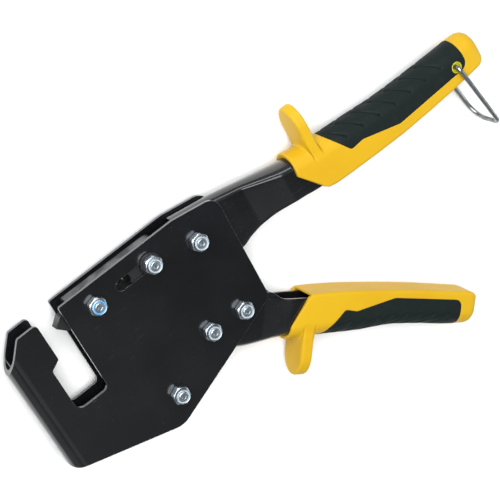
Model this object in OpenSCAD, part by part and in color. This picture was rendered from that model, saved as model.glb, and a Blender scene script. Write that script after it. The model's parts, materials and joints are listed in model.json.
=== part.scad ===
// Stud crimper: a folded steel head, a sliding punch and two gripped lever handles.
// Mechanism frame: the pivot axis is at the origin, X runs back along the punch slide,
// Y points out of the jaw mouth and Z is across the tool. place() moves it to the row frame.

/* [Head] */
// Width across the two side plates
head_w = 16; // [15.6:0.1:17]
// Sheet thickness of the folded head
sheet = 2; // [1.8:0.1:2]
// Depth of the throat below the hook's tooth
throat_y = -38.3; // [-40:0.1:-36]

/* [Fasteners] */
// Bolt shank diameter
bolt_d = 6; // [5:0.5:6]
// Across-flats size of nuts and bolt heads
hex_af = 10; // [9:0.1:10.5]
// Height of a bolt head
head_h = 4; // [3:0.1:5]
// Height of a lock nut
nut_h = 6; // [5.5:0.1:6.5]

/* [Punch] */
// Thickness of the punch slide plate
slide_t = 6.4; // [5:0.1:6.4]
// Height of the slide's centre line above the pivot
slide_y = 7.1; // [6.8:0.1:7.3]
// Distance from the pivot to the drive pin
drive_r = 33.3; // [33:0.1:33.6]
// Angle that the closing handle turns through
closing_angle = 35; // [30:1:35]

/* [Levers] */
// Steel thickness of the pressed lever channels
lever_sheet = 2; // [1.6:0.1:2]
// Half width of a lever channel inside its grip
lever_half_w = 9; // [8.6:0.1:9]

/* [Grips] */
// Half width of a grip
grip_half_w = 11.25; // [11.2:0.05:12]
// Length of the upper grip behind its inner front corner
upper_grip_len = 127; // [122:1:130]
// Length of the lower grip behind its inner front corner
lower_grip_len = 119; // [113:1:122]
// Thickness of the soft overmould
soft_t = 1.3; // [1:0.1:1.5]

/* [Bail] */
// Diameter of the bail wire
wire_d = 2.8; // [2.6:0.1:2.8]
// Length of the bail from its hinge to its cross bar
bail_len = 46.5; // [40:0.5:48]
// Direction of the bail at rest
bail_angle = -79; // [-90:1:-70]

/* [Hidden] */
$fn = 48;
eps = 0.01;

// Shift from the mechanism frame to the row frame: middle of the footprint, resting plane at Z 0
row_shift = [-40.3, 64.9, 13.65];

// Fastener places on the side plates
guide_at = [-67.7, slide_y];
slide_at = [-29.5, slide_y];
pivot_at = [0, 0];
handle_front_at = [2.6, -52];
handle_rear_at = [-20.1, -50];
frame_at = [-54.9, -69.4];

// Fits
fit = 0.05;
bolt_r = bolt_d / 2;
hole_r = bolt_r + fit;
plate_z = head_w / 2;
inner_z = plate_z - sheet;
side_gap = 0.2;
cheek_z = inner_z - side_gap;
slide_z = slide_t / 2;

// Drive: the pin starts as far behind the pivot as it ends in front of it
half_angle = closing_angle / 2;
drive_at = [drive_r * sin(half_angle), -drive_r * cos(half_angle)];
travel = 2 * drive_r * sin(half_angle);
drive_pin_r = 4;
drive_slot_r = drive_pin_r + 0.15;

// Bushes
sleeve_r = 4.5;
sleeve_slot_r = sleeve_r + 0.2;
bush_r = 5;
handle_spacer_r = 4.2;
slot_r = bolt_r + 0.3;
slot_spare = 0.5;
washer_r = 6.4;
washer_t = 1.2;
washer_gap = 0.15;

// Grip frames: origin at the inner front corner, s runs back along the grip
upper_grip_at = [82, -25.2];
upper_grip_turn = 2.5;
lower_grip_at = [42.1, -73.5];
lower_grip_turn = -36.3;
grip_back_len = 13;
eyelet_s = 106.7;
eyelet_h = 7.9;
eyelet_r = 3.5;
bail_half_w = 12.25;
bail_pin_in = 5.8;

// ---------- Outline helpers ----------

function unit(v) = v / norm(v);
function turn(a) = a > 180 ? a - 360 : (a < -180 ? a + 360 : a);

// Points of an arc about c from angle a0 to a1
function arc(c, r, a0, a1, n = 16) =
  [for (k = [0:n]) let (a = a0 + (a1 - a0) * k / n) c + r * [cos(a), sin(a)]];

// One corner of an outline: its fillet's points, or the corner itself where its radius is 0
function fillet(p0, p1, p2, r, n = 6) =
  let (a = unit(p0 - p1), b = unit(p2 - p1), half = acos(a * b) / 2)
  r == 0 ? [p1] :
  let (c = p1 + unit(a + b) * r / sin(half), v0 = p1 + a * r / tan(half) - c,
       v1 = p1 + b * r / tan(half) - c, a0 = atan2(v0[1], v0[0]),
       da = turn(atan2(v1[1], v1[0]) - a0))
  arc(c, r, a0, a0 + da, n);

// An outline given as [x, y, corner radius]
function rounded(pts) =
  let (m = len(pts), xy = [for (p = pts) [p[0], p[1]]])
  [for (i = [0:m - 1]) each fillet(xy[(i + m - 1) % m], xy[i], xy[(i + 1) % m], pts[i][2])];

// ---------- Loft helpers ----------

// A section across the handle: flat inner side, upright flanks and an elliptic back
function section(s, lo, hi, w, dome, corner, n = 14) = concat(
  [for (k = [0:n]) let (a = 180 * k / n) [s, hi - dome + dome * sin(a), w * cos(a)]],
  [for (k = [0:3]) let (a = 180 + 30 * k)
    [s, lo + corner + corner * sin(a), -w + corner + corner * cos(a)]],
  [for (k = [0:3]) let (a = 270 + 30 * k)
    [s, lo + corner + corner * sin(a), w - corner + corner * cos(a)]]);

// Skins a list of sections that all have the same number of points
module loft(rings) {
  n = len(rings[0]);
  m = len(rings);
  points = [for (r = rings) each r];
  sides = [for (i = [0:m - 2], k = [0:n - 1]) let (a = i * n + k, b = i * n + (k + 1) % n)
    each [[a, b, b + n], [a, b + n, a + n]]];
  front = [for (k = [n - 1:-1:0]) k];
  back = [for (k = [0:n - 1]) (m - 1) * n + k];
  polyhedron(points, concat(sides, [front], [back]), convexity = 6);
}

// ---------- Frames ----------

module place() {
  translate(row_shift) children();
}

module at(p, z = 0) {
  translate([p[0], p[1], z]) children();
}

module upper_grip_frame() {
  at(upper_grip_at) rotate(upper_grip_turn) children();
}

module lower_grip_frame() {
  at(lower_grip_at) rotate(lower_grip_turn) mirror([0, 1, 0]) children();
}

// A flat plate cut to an outline, between two heights
module plate(pts, z0, z1) {
  translate([0, 0, z0]) linear_extrude(height = z1 - z0) polygon(pts);
}

// A straight slot between two centres, through the whole tool
module slot_cut(p0, p1, r) {
  a = atan2(p1[1] - p0[1], p1[0] - p0[0]);
  plate(concat(arc(p0, r, a + 90, a + 270), arc(p1, r, a - 90, a + 90)), -plate_z - 1, plate_z + 1);
}

module hole_cut(p, r) {
  at(p, -plate_z - 1) cylinder(h = head_w + 2, r = r);
}

// ---------- Head ----------

nose_x = -128;
fold_x = nose_x + plate_z;
hook_x = -101;
throat_left = -107.5;
head_left = -86.4;

head_outline = rounded([
  [head_left + 0.4, 19.2, 1.2], [-7, 19.6, 6], [22, 15.2, 8], [20.2, -56.2, 7],
  [-62, -87.6, 14], [nose_x, -66.6, 6], [nose_x, 2.4, 0], [-113.8, 19.2, 2],
  [hook_x, 19.4, 2.4], [hook_x, -5.4, 0.8], [throat_left, -9, 2.5], [throat_left, throat_y, 5],
  [head_left, throat_y, 3.5]]);

// The sheet bent round the nose, before it is cut to its outline
module folded_sheet() {
  difference() {
    union() {
      translate([fold_x, -100, -plate_z]) cube([160, 140, head_w]);
      translate([fold_x, 40, 0]) rotate([90, 0, 0]) cylinder(h = 140, r = plate_z);
    }
    translate([fold_x, -101, -inner_z]) cube([161, 142, 2 * inner_z]);
    translate([fold_x, 41, 0]) rotate([90, 0, 0]) cylinder(h = 142, r = inner_z);
  }
}

module head_frame() {
  color([0.07, 0.07, 0.08]) place() difference() {
    intersection() {
      folded_sheet();
      plate(head_outline, -plate_z - 1, plate_z + 1);
    }
    for (p = [guide_at, pivot_at, handle_front_at, handle_rear_at, frame_at]) hole_cut(p, hole_r);
    slot_cut(slide_at + [-travel - slot_spare, 0], slide_at + [slot_spare, 0], slot_r);
  }
}

// A tube between the side plates round one bolt
module tube_spacer(p, r, half_len) {
  color([0.62, 0.64, 0.66]) place() difference() {
    at(p, -half_len) cylinder(h = 2 * half_len, r = r);
    hole_cut(p, hole_r);
  }
}

// The thinner tube that fits between the lower lever's sides
module handle_spacer(p) {
  tube_spacer(p, handle_spacer_r, inner_z - lever_sheet);
}

// ---------- Fasteners ----------

module hex_prism(af, h) {
  cylinder(h = h, d = af / cos(30), $fn = 6);
}

// A bolt with its head on the far side; lift is how far head and nut stand off the plates,
// and turned is where the tightening left its head
module bolt(p, lift, turned) {
  color([0.72, 0.75, 0.78]) place() {
    at(p, -plate_z - lift - head_h) rotate(turned) hex_prism(hex_af, head_h);
    at(p, -plate_z - lift - eps) cylinder(h = head_w + 2 * lift + nut_h + 0.3, r = bolt_r);
  }
}

module nut(p, lift, turned) {
  collar = nut_h * 0.7;
  color([0.74, 0.77, 0.8]) place() difference() {
    at(p, plate_z + lift) rotate(turned) union() {
      hex_prism(hex_af, collar);
      cylinder(h = nut_h, r = hex_af * 0.46);
    }
    at(p, plate_z + lift - 1) cylinder(h = nut_h + 2, r = hole_r);
    at(p, plate_z + lift + collar + 0.3) cylinder(h = nut_h, r = hex_af * 0.4);
  }
}

module nut_ring(p, lift, shade) {
  z0 = plate_z + lift + nut_h * 0.7 + 0.3;
  color(shade) place() difference() {
    at(p, z0) cylinder(h = nut_h * 0.3 - 0.4, r = hex_af * 0.4);
    at(p, z0 - 1) cylinder(h = nut_h, r = hole_r);
  }
}

module washer(z) {
  color([0.3, 0.31, 0.32]) place() difference() {
    at(slide_at, z) cylinder(h = washer_t, r = washer_r);
    at(slide_at, z - 1) cylinder(h = washer_t + 2, r = hole_r);
  }
}

// ---------- Punch slide ----------

slide_front = -80;
window_left = guide_at[0] - sleeve_r - 0.4;
window_right = -36;
blade_root = -75.6;
slide_top = 18;
slide_bottom = -4;
cheek_back = -22;
rivet_r = 1.5;
rivets_at = [[-74.6, 14.6], [-74.6, -1], [-33, 14.6], [-33, -1]];
punch_pin_at = [-77.9, slide_y];

slide_outline = rounded([
  [slide_front, slide_top, 1], [-20, slide_top, 4], [-14, 0, 5], [-7, -11, 6], [6, -19, 4],
  [drive_at[0] + 8.5, -21, 4], [drive_at[0] + 8.5, -44, 4], [drive_at[0] - 8.5, -44, 4],
  [-8, -28, 8], [-30, slide_bottom, 6], [slide_front, slide_bottom, 1]]);

module slide_bores() {
  hole_cut(slide_at, hole_r);
  for (p = rivets_at) hole_cut(p, rivet_r);
  hole_cut(punch_pin_at, 1.25);
}

module punch_slide() {
  color([0.16, 0.16, 0.17]) place() difference() {
    plate(slide_outline, -slide_z, slide_z);
    slide_bores();
    translate([slide_front - 1, slide_y - 5, -plate_z]) cube([blade_root - slide_front + 1, 10, head_w]);
    translate([window_left, slide_y - sleeve_slot_r, -plate_z])
      cube([window_right - window_left, 2 * sleeve_slot_r, head_w]);
    slot_cut(drive_at + [0, 0.6], drive_at + [0, -2.1], drive_slot_r);
  }
}

module punch_blade() {
  color([0.1, 0.1, 0.1]) place() difference() {
    plate([[blade_root, slide_y - 5], [blade_root, slide_y + 5], [-87, slide_y + 5], [-92.2, slide_y + 0.5],
           [-87, slide_y - 5]], -slide_z, slide_z);
    hole_cut(punch_pin_at, 1.25);
  }
}

module punch_pin() {
  color([0.6, 0.62, 0.64]) place() at(punch_pin_at, -cheek_z) cylinder(h = 2 * cheek_z, r = 1.25);
}

module slide_cheek(z0) {
  color([0.2, 0.2, 0.21]) place() difference() {
    plate(rounded([[slide_front, 16.4, 1], [cheek_back, 16.4, 6], [cheek_back, slide_bottom, 6],
                   [slide_front, slide_bottom, 1]]), z0, z0 + cheek_z - slide_z);
    slide_bores();
    slot_cut(guide_at + [-0.4, 0], guide_at + [travel + 0.4, 0], sleeve_slot_r);
  }
}

module slide_rivets() {
  color([0.6, 0.62, 0.64]) place() for (p = rivets_at)
    at(p, -cheek_z) cylinder(h = 2 * cheek_z, r = rivet_r);
}

// Compression spring between the guide sleeve and the back of the slide's window
spring_r = 2.6;
spring_wire_r = 0.4;
spring_turns = 7;
spring_x0 = guide_at[0] + sleeve_r + spring_wire_r + 0.1;
spring_x1 = window_right - spring_wire_r - 0.1;

module return_spring() {
  steps = spring_turns * 16;
  rings = [for (i = [0:steps]) let (a = 360 * i / 16, x = spring_x0 + (spring_x1 - spring_x0) * i / steps)
    [for (k = [0:5]) let (b = -60 * k, r = spring_r + spring_wire_r * cos(b))
      [x + spring_wire_r * sin(b), slide_y + r * cos(a), r * sin(a)]]];
  color([0.6, 0.62, 0.65]) place() loft(rings);
}

// ---------- Levers ----------

neck_z = cheek_z;
flare = lever_half_w - neck_z;

// Upper lever, by X in the mechanism frame
upper_back = [[-6, 18.6], [18, 14.9], [69, 4], [96, 0], [115, -0.6], [144, -3.5], [172, -3.5]];
upper_open = [[-6, -11], [14, -20], [22, -22], [30, -19.6], [38, -18.1], [48, -17.3], [66, -18.7],
              [80, -20.5], [110, -21.5], [172, -18]];
upper_flare = [[-6, 0], [40, 0], [51, 0.5], [62, 1], [172, 1]];
upper_stations = [-6, 4, 14, 22, 30, 38, 43, 48, 53, 58, 62, 69, 82, 96, 115, 130, 144, 172];

// Lower lever, by distance along the grip direction from its front corner
lower_back = [[-75, 29], [-45, 30.5], [-14, 25], [14, 22], [33, 20.5], [62, 17], [92, 17]];
lower_open = [[-75, 8], [-62, 6.5], [-46, -1.5], [-27, -2.8], [-17, 1.2], [0, 0.8], [30, 1.2], [92, 2.5]];
lower_flare = [[-75, 0], [-27, 0], [-21, 0.5], [-15, 1], [92, 1]];
lower_stations = [-75, -68, -62, -54, -46, -36, -27, -24, -21, -18, -15, 0, 14, 33, 48, 62, 92];

// A channel pressed from sheet, open towards the other handle
module channel(stations, back, open, flares, base_z) {
  difference() {
    loft([for (s = stations) let (w = base_z + (lever_half_w - base_z) * lookup(s, flares))
      section(s, lookup(s, open), lookup(s, back), w, w * 0.72, 0.3)]);
    loft([for (s = [for (i = [0:len(stations) - 1])
        stations[i] + (i == 0 ? -1 : (i == len(stations) - 1 ? 1 : 0))])
      let (w = base_z + (lever_half_w - base_z) * lookup(s, flares) - lever_sheet)
      section(s, lookup(s, open) - 9, lookup(s, back) - lever_sheet, w, w * 0.72, 0.3)]);
  }
}

ear_r = 12.5;
ear_tip_r = 7.3;
ear_turn = half_angle - 90;
ear_spread = acos((ear_r - ear_tip_r) / drive_r);

// The two ears that hang from the pivot down to the drive pin
ear_outline = concat(
  arc(pivot_at, ear_r, ear_turn + ear_spread, ear_turn - ear_spread + 360, 24),
  arc(drive_at, ear_tip_r, ear_turn - ear_spread, ear_turn + ear_spread, 16));

module upper_lever() {
  color([0.06, 0.06, 0.07]) place() difference() {
    union() {
      channel(upper_stations, upper_back, upper_open, upper_flare, neck_z);
      for (z0 = [-neck_z, neck_z - lever_sheet]) plate(ear_outline, z0, z0 + lever_sheet);
    }
    hole_cut(pivot_at, bush_r + fit);
    hole_cut(drive_at, drive_pin_r + 0.01);
  }
}

module drive_pin() {
  color([0.6, 0.62, 0.64]) place() at(drive_at, -neck_z) cylinder(h = 2 * neck_z, r = drive_pin_r);
}

module lower_lever() {
  color([0.06, 0.06, 0.07]) place() difference() {
    lower_grip_frame() channel(lower_stations, lower_back, lower_open, lower_flare, inner_z);
    for (p = [handle_front_at, handle_rear_at]) hole_cut(p, hole_r);
  }
}

// ---------- Grips ----------

nose_r = 7;
grip_dome = 10;
guard_draft = 0.4;
guard_tip_r = 13;

// Each grip is [length, back, inner face, ferrule's front edge, guard's front and rear, height of the
// guard's tip, how far the tip leans back, outline of the soft overmould], all by distance along it
upper_shape = [
  upper_grip_len,
  [[-grip_back_len, 33.4], [12, 28.2], [35, 25.4], [62, 22.2], [100, 20.6], [130, 20]],
  [[-grip_back_len, 4.4], [0, 2], [8, 0.3], [24, -1], [45, -2.4], [62, -3.1], [80, -3.3], [96, -3.1],
   [112, -2.3], [130, -1]],
  [[4, -8], [0.9, 2], [-12, 20.3], [-9.6, 33.4], [-9.6, 60]],
  [1.7, 9.2], 54.5, 1.5,
  [[13.5, 40, 0], [13.5, 29.4, 0], [24.2, 11.4, 3], [33.5, 11.8, 4], [58.5, 3.75, 6],
   [upper_grip_len - 12.9, 3.75, 5.5], [upper_grip_len - 12.6, 40, 0]]];
lower_shape = [
  lower_grip_len,
  [[-grip_back_len, 27.2], [12, 24.9], [35, 23.6], [62, 20.9], [80, 21.4], [100, 22.6], [130, 23]],
  [[-grip_back_len, -1], [0, -1.8], [8, -2.3], [24, -2.8], [40, -2.6], [55, -2.2], [75, -1.4], [90, -0.4],
   [100, 0.4], [112, 1.2], [130, 2.5]],
  [[2.5, -8], [-1.5, -1.6], [-12.9, 17], [-12.9, 60]],
  [-4.5, 4.1], 49.6, 0,
  [[8.5, 40, 0], [8.5, 24.2, 0], [22.6, 8.1, 2.5], [30.5, 9.4, 3], [56.5, 2.2, 5],
   [lower_grip_len - 13, 5.6, 5], [lower_grip_len - 12.8, 40, 0]]];

function grip_len(g) = g[0];
function grip_back(g, s) = lookup(s, g[1]);
function grip_face(g, s) = lookup(s, g[2]);
function grip_width(s) = grip_half_w + lookup(s, [[55, 0], [100, -0.95], [130, -0.95]]);

// One section of the grip, drawn in by inset on every side
function grip_section(g, s, inset) =
  section(s, grip_face(g, s) + inset, grip_back(g, s) - inset, grip_width(s) - inset,
          grip_dome - inset / 2, max(2 - inset / 2, 0.8));

// The whole outer shape of a grip, its rounded nose included
module grip_shape(g, inset = 0) {
  body_end = grip_len(g) - nose_r;
  stations = concat([-grip_back_len, -8, 0], [for (k = [1:13]) body_end * k / 13]);
  nose = [for (a = [16.5:16.5:82.5]) [body_end + (nose_r - inset) * sin(a),
                                      nose_r * (1 - cos(a)) + inset]];
  loft(concat([for (s = stations) grip_section(g, s, inset)],
              [for (q = nose) grip_section(g, q[0], q[1])]));
}

// Cuts the slanted front of the ferrule
module front_cut(g) {
  plate(concat([[-grip_back_len - 9, -8]], g[3], [[-grip_back_len - 9, 60]]), -20, 20);
}

module soft_shell(g) {
  intersection() {
    difference() {
      grip_shape(g);
      grip_shape(g, soft_t);
    }
    plate(rounded(g[7]), -20, 20);
  }
}

// The finger guard: a tongue with a rounded tip, standing on the back of the ferrule
module guard(g) {
  front = g[4][0];
  rear = g[4][1];
  tip = g[5];
  lean = g[6];
  half = grip_half_w - 0.9;
  tongue = concat([[18, -half]],
                  [for (k = [0:16]) let (a = 180 * k / 16)
                    [tip - guard_tip_r + guard_tip_r * sin(a), -half * cos(a)]],
                  [[18, half]]);
  intersection() {
    plate([[front, 14], [rear, 14], [rear + lean - guard_draft, 60], [front + lean + 3 * guard_draft, 60]],
          -20, 20);
    translate([front, 0, 0]) rotate([90, 0, 90])
      linear_extrude(height = rear + lean - front) polygon(tongue);
  }
}

module grip_body(g) {
  grip_shape(g);
  guard(g);
}

// The pocket that the lever channel slides into
module lever_pocket(stations, back, open, flares, base_z) {
  loft([for (s = stations) let (w = base_z + (lever_half_w - base_z) * lookup(s, flares) + fit)
    section(s, lookup(s, open) - 1, lookup(s, back) + fit, w, w * 0.72, 0.3)]);
}

module upper_grip() {
  pocket = [for (s = upper_stations) if (s >= 58) s + (s == 172 ? 1 : 0)];
  color([0.98, 0.78, 0.12]) place() difference() {
    upper_grip_frame() difference() {
      grip_body(upper_shape);
      front_cut(upper_shape);
      soft_shell(upper_shape);
      at([eyelet_s, eyelet_h], -20) cylinder(h = 40, r = eyelet_r);
    }
    lever_pocket(pocket, upper_back, upper_open, upper_flare, neck_z);
  }
}

module upper_overmould() {
  color([0.15, 0.17, 0.17]) place() upper_grip_frame() difference() {
    soft_shell(upper_shape);
    at([eyelet_s, eyelet_h], -20) cylinder(h = 40, r = eyelet_r);
  }
}

module lower_grip() {
  pocket = [for (s = lower_stations) if (s >= -24) s + (s == 92 ? 1 : 0)];
  color([0.98, 0.78, 0.12]) place() lower_grip_frame() difference() {
    grip_body(lower_shape);
    front_cut(lower_shape);
    soft_shell(lower_shape);
    lever_pocket(pocket, lower_back, lower_open, lower_flare, inner_z);
  }
}

module lower_overmould() {
  color([0.15, 0.17, 0.17]) place() lower_grip_frame() soft_shell(lower_shape);
}

// ---------- Bail ----------

// A flanged bush at one side of the upper grip's end
module eyelet(side) {
  outer = grip_width(eyelet_s) + 0.3;
  color([0.75, 0.74, 0.2]) place() upper_grip_frame() difference() {
    at([eyelet_s, eyelet_h], side > 0 ? 0.5 : -outer) cylinder(h = outer - 0.5, r = eyelet_r);
    at([eyelet_s, eyelet_h], -20) cylinder(h = 40, r = wire_d / 2 + fit);
    at([eyelet_s, eyelet_h], side > 0 ? outer - 2 : -outer - 1) cylinder(h = 3, r = eyelet_r - 0.75);
  }
}

// A quarter bend of the wire in the plane of the bail
module wire_bend(r) {
  rotate_extrude(angle = 90) translate([r, 0]) circle(d = wire_d, $fn = 24);
}

// The bail lies in its own XY plane here: X across the tool, Y from the hinge to the cross bar
module bail_outline() {
  elbow = 2.6;
  near_r = 4.5;
  far_r = 10;
  w = bail_half_w;
  for (m = [0, 1]) mirror([m, 0, 0]) {
    translate([bail_pin_in, 0, 0]) rotate([0, 90, 0])
      cylinder(h = w - elbow - bail_pin_in, d = wire_d, $fn = 24);
    translate([w - elbow, elbow, 0]) rotate(-90) wire_bend(elbow);
    leg = m == 0 ? bail_len - near_r : bail_len - far_r;
    translate([w, elbow, 0]) rotate([-90, 0, 0]) cylinder(h = leg - elbow, d = wire_d, $fn = 24);
  }
  translate([w - near_r, bail_len - near_r, 0]) wire_bend(near_r);
  translate([-w + far_r, bail_len - far_r, 0]) rotate(90) wire_bend(far_r);
  translate([-w + far_r, bail_len, 0]) rotate([0, 90, 0])
    cylinder(h = 2 * w - far_r - near_r, d = wire_d, $fn = 24);
}

module wire_bail() {
  color([0.68, 0.7, 0.72]) place() upper_grip_frame() at([eyelet_s, eyelet_h])
    rotate(bail_angle - upper_grip_turn - 90) rotate([0, -90, 0]) bail_outline();
}

// ---------- Build ----------

clear_nylon = [0.85, 0.87, 0.88];
blue_nylon = [0.25, 0.55, 0.8];
slide_lift = washer_gap + washer_t;

head_frame();
tube_spacer(guide_at, sleeve_r, inner_z);  // guide_sleeve
tube_spacer(pivot_at, bush_r, inner_z);  // pivot_bush
tube_spacer(frame_at, bush_r, inner_z);  // frame_spacer
handle_spacer(handle_front_at);  // handle_spacer_front
handle_spacer(handle_rear_at);  // handle_spacer_rear
punch_slide();
punch_blade();
punch_pin();
slide_cheek(slide_z);  // slide_cheek_near
slide_cheek(-cheek_z);  // slide_cheek_far
slide_rivets();
return_spring();
upper_lever();
drive_pin();
upper_grip();
upper_overmould();
eyelet(1);  // eyelet_near
eyelet(-1);  // eyelet_far
wire_bail();
lower_lever();
lower_grip();
lower_overmould();
bolt(guide_at, 0, 8);  // guide_bolt
bolt(slide_at, slide_lift, 41);  // slide_bolt
bolt(pivot_at, 0, 22);  // pivot_bolt
bolt(handle_front_at, 0, 53);  // handle_bolt_front
bolt(handle_rear_at, 0, 30);  // handle_bolt_rear
bolt(frame_at, 0, 14);  // frame_bolt
nut(guide_at, 0, 17);  // guide_nut
nut(slide_at, slide_lift, 5);  // slide_nut
nut(pivot_at, 0, 12);  // pivot_nut
nut(handle_front_at, 0, 20);  // handle_nut_front
nut(handle_rear_at, 0, 9);  // handle_nut_rear
nut(frame_at, 0, 26);  // frame_nut
nut_ring(guide_at, 0, blue_nylon);  // guide_nut_ring
nut_ring(slide_at, slide_lift, clear_nylon);  // slide_nut_ring
nut_ring(pivot_at, 0, clear_nylon);  // pivot_nut_ring
nut_ring(handle_front_at, 0, clear_nylon);  // handle_nut_ring_front
nut_ring(handle_rear_at, 0, clear_nylon);  // handle_nut_ring_rear
nut_ring(frame_at, 0, clear_nylon);  // frame_nut_ring
washer(plate_z + washer_gap);  // slide_washer_near
washer(-plate_z - washer_gap - washer_t);  // slide_washer_far
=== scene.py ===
import json
import math
from dataclasses import dataclass

import bmesh
import bpy
import numpy as np
from mathutils import Matrix, Vector


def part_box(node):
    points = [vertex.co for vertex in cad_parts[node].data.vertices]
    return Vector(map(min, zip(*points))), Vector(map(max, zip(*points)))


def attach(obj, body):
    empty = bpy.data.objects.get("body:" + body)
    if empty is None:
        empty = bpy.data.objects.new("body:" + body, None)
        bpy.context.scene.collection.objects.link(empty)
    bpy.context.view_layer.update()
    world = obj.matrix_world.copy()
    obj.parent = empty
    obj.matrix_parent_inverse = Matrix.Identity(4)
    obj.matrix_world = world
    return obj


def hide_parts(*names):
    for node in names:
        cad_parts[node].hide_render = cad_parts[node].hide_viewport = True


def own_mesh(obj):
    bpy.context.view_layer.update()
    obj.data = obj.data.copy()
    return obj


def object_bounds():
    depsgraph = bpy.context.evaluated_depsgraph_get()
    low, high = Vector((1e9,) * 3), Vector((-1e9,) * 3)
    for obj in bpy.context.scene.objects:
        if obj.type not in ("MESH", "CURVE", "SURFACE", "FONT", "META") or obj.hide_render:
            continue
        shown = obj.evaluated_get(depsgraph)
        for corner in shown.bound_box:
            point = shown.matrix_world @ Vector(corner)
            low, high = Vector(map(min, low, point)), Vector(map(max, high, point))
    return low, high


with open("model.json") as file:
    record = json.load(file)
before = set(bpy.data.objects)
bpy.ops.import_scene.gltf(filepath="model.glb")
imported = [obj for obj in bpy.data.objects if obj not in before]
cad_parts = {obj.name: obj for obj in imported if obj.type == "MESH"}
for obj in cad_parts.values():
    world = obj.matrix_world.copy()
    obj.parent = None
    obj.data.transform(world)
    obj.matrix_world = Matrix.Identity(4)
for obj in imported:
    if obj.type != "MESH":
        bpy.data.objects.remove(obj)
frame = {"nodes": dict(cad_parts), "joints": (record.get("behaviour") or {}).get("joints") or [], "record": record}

bl_info = {
    "name": "Stud Crimper",
    "version": (1, 0, 0),
    "blender": (4, 5, 0),
    "location": "View3D > Sidebar > Crimper",
    "description": "Finished surfaces of a stud crimper, built round its packed frame",
    "category": "Add Mesh",
}

CAD_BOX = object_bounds()
MM = 0.001
RECORD = frame["record"]
JOINTS = {joint["name"]: joint for joint in frame["joints"]}
PIVOT = np.array(JOINTS["handle_pivot"]["pos_m"])
BODY_OF = {node: body for body, nodes in RECORD["behaviour"]["bodies"].items() for node in nodes}


# ---------- Numbers and curves ----------
# Shapes are worked out in millimetres in the mechanism frame: the pivot at the origin, X back along
# the punch slide, Y out of the jaw's mouth and Z across the tool. place() takes them to the row frame.

def place(points):
    """Mechanism frame in millimetres to row frame in metres: scaled, then moved to the pivot."""
    return PIVOT + MM * np.asarray(points, float)


def ease(x, start, end):
    """0 before start, 1 after end, and the cubic 3t^2 - 2t^3 between."""
    t = np.clip((x - start) / (end - start), 0.0, 1.0)
    return t * t * (3 - 2 * t)


def smooth(x, knots):
    """Cubic Hermite through knots (x, y) that never overshoots: a knot's slope is the harmonic mean of
    its two chords' slopes, or 0 where they differ in sign. Constant beyond the ends."""
    knots = np.asarray(knots, float)
    kx, ky = knots[:, 0], knots[:, 1]
    step = np.diff(kx)
    chord = np.diff(ky) / step
    product = chord[1:] * chord[:-1]
    total = np.where(product > 0, chord[1:] + chord[:-1], 1.0)
    slope = np.concatenate([chord[:1], np.where(product > 0, 2 * product / total, 0.0), chord[-1:]])
    i = np.clip(np.searchsorted(kx, x, side="right") - 1, 0, len(step) - 1)
    t = np.clip((x - kx[i]) / step[i], 0.0, 1.0)
    hermite = (2 * t**3 - 3 * t**2 + 1) * ky[i] + (3 * t**2 - 2 * t**3) * ky[i + 1]
    return hermite + step[i] * ((t**3 - 2 * t**2 + t) * slope[i] + (t**3 - t**2) * slope[i + 1])


def spread(stops):
    """One list of numbers from stops (value, steps to the next stop): even steps between stops."""
    parts = [np.linspace(a, b, n, endpoint=False) for (a, n), (b, _) in zip(stops, stops[1:])]
    return np.concatenate(parts + [[stops[-1][0]]])


def fillet(before, corner, after, radius, count):
    """Arc of a corner between two straight edges: it touches each edge at radius / tan(half angle)."""
    if radius == 0:
        return corner[None]
    a, b = before - corner, after - corner
    a, b = a / np.linalg.norm(a), b / np.linalg.norm(b)
    half = math.acos(float(np.clip(a @ b, -1, 1))) / 2
    centre = corner + (a + b) / np.linalg.norm(a + b) * radius / math.sin(half)
    v0 = corner + a * radius / math.tan(half) - centre
    v1 = corner + b * radius / math.tan(half) - centre
    start = math.atan2(v0[1], v0[0])
    turn = (math.atan2(v1[1], v1[0]) - start + math.pi) % (2 * math.pi) - math.pi
    angle = start + turn * np.linspace(0, 1, count)
    return centre + radius * np.stack([np.cos(angle), np.sin(angle)], -1)


def rounded(corners, count=8):
    """Open outline through corners (x, y, radius), each but the ends replaced by an arc of count points."""
    points = np.array([c[:2] for c in corners], float)
    middle = [fillet(points[i - 1], points[i], points[i + 1], corners[i][2], count)
              for i in range(1, len(points) - 1)]
    return np.concatenate([points[:1], *middle, points[-1:]])


def walk(path, fractions):
    """Points of a polyline at fractions of its length."""
    length = np.concatenate([[0], np.cumsum(np.linalg.norm(np.diff(path, axis=0), axis=1))])
    at = np.asarray(fractions) * length[-1]
    return np.stack([np.interp(at, length, path[:, k]) for k in range(path.shape[1])], -1)


def inside_distance(points, path):
    """Signed distance from points (..., 2) to a polyline whose ends are joined below it: the nearest
    foot over all its segments, positive inside by the crossing rule."""
    shape = points.shape[:-1]
    p = points.reshape(-1, 1, 2)
    a, b = path[:-1], path[1:]
    d = b - a
    t = np.clip(((p - a) * d).sum(-1) / (d * d).sum(-1), 0, 1)
    near = np.linalg.norm(a + t[..., None] * d - p, axis=-1).min(-1)
    closed = np.concatenate([path, [[path[-1, 0], -99.0], [path[0, 0], -99.0], path[0]]])
    a, b = closed[:-1], closed[1:]
    rise = np.where(b[:, 1] == a[:, 1], 1e-9, b[:, 1] - a[:, 1])
    spans = (a[:, 1] > p[..., 1]) != (b[:, 1] > p[..., 1])
    crossing = a[:, 0] + (p[..., 1] - a[:, 1]) * (b[:, 0] - a[:, 0]) / rise
    inside = (spans & (p[..., 0] < crossing)).sum(-1) % 2 == 1
    return np.where(inside, near, -near).reshape(shape)


# ---------- Meshes ----------

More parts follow.
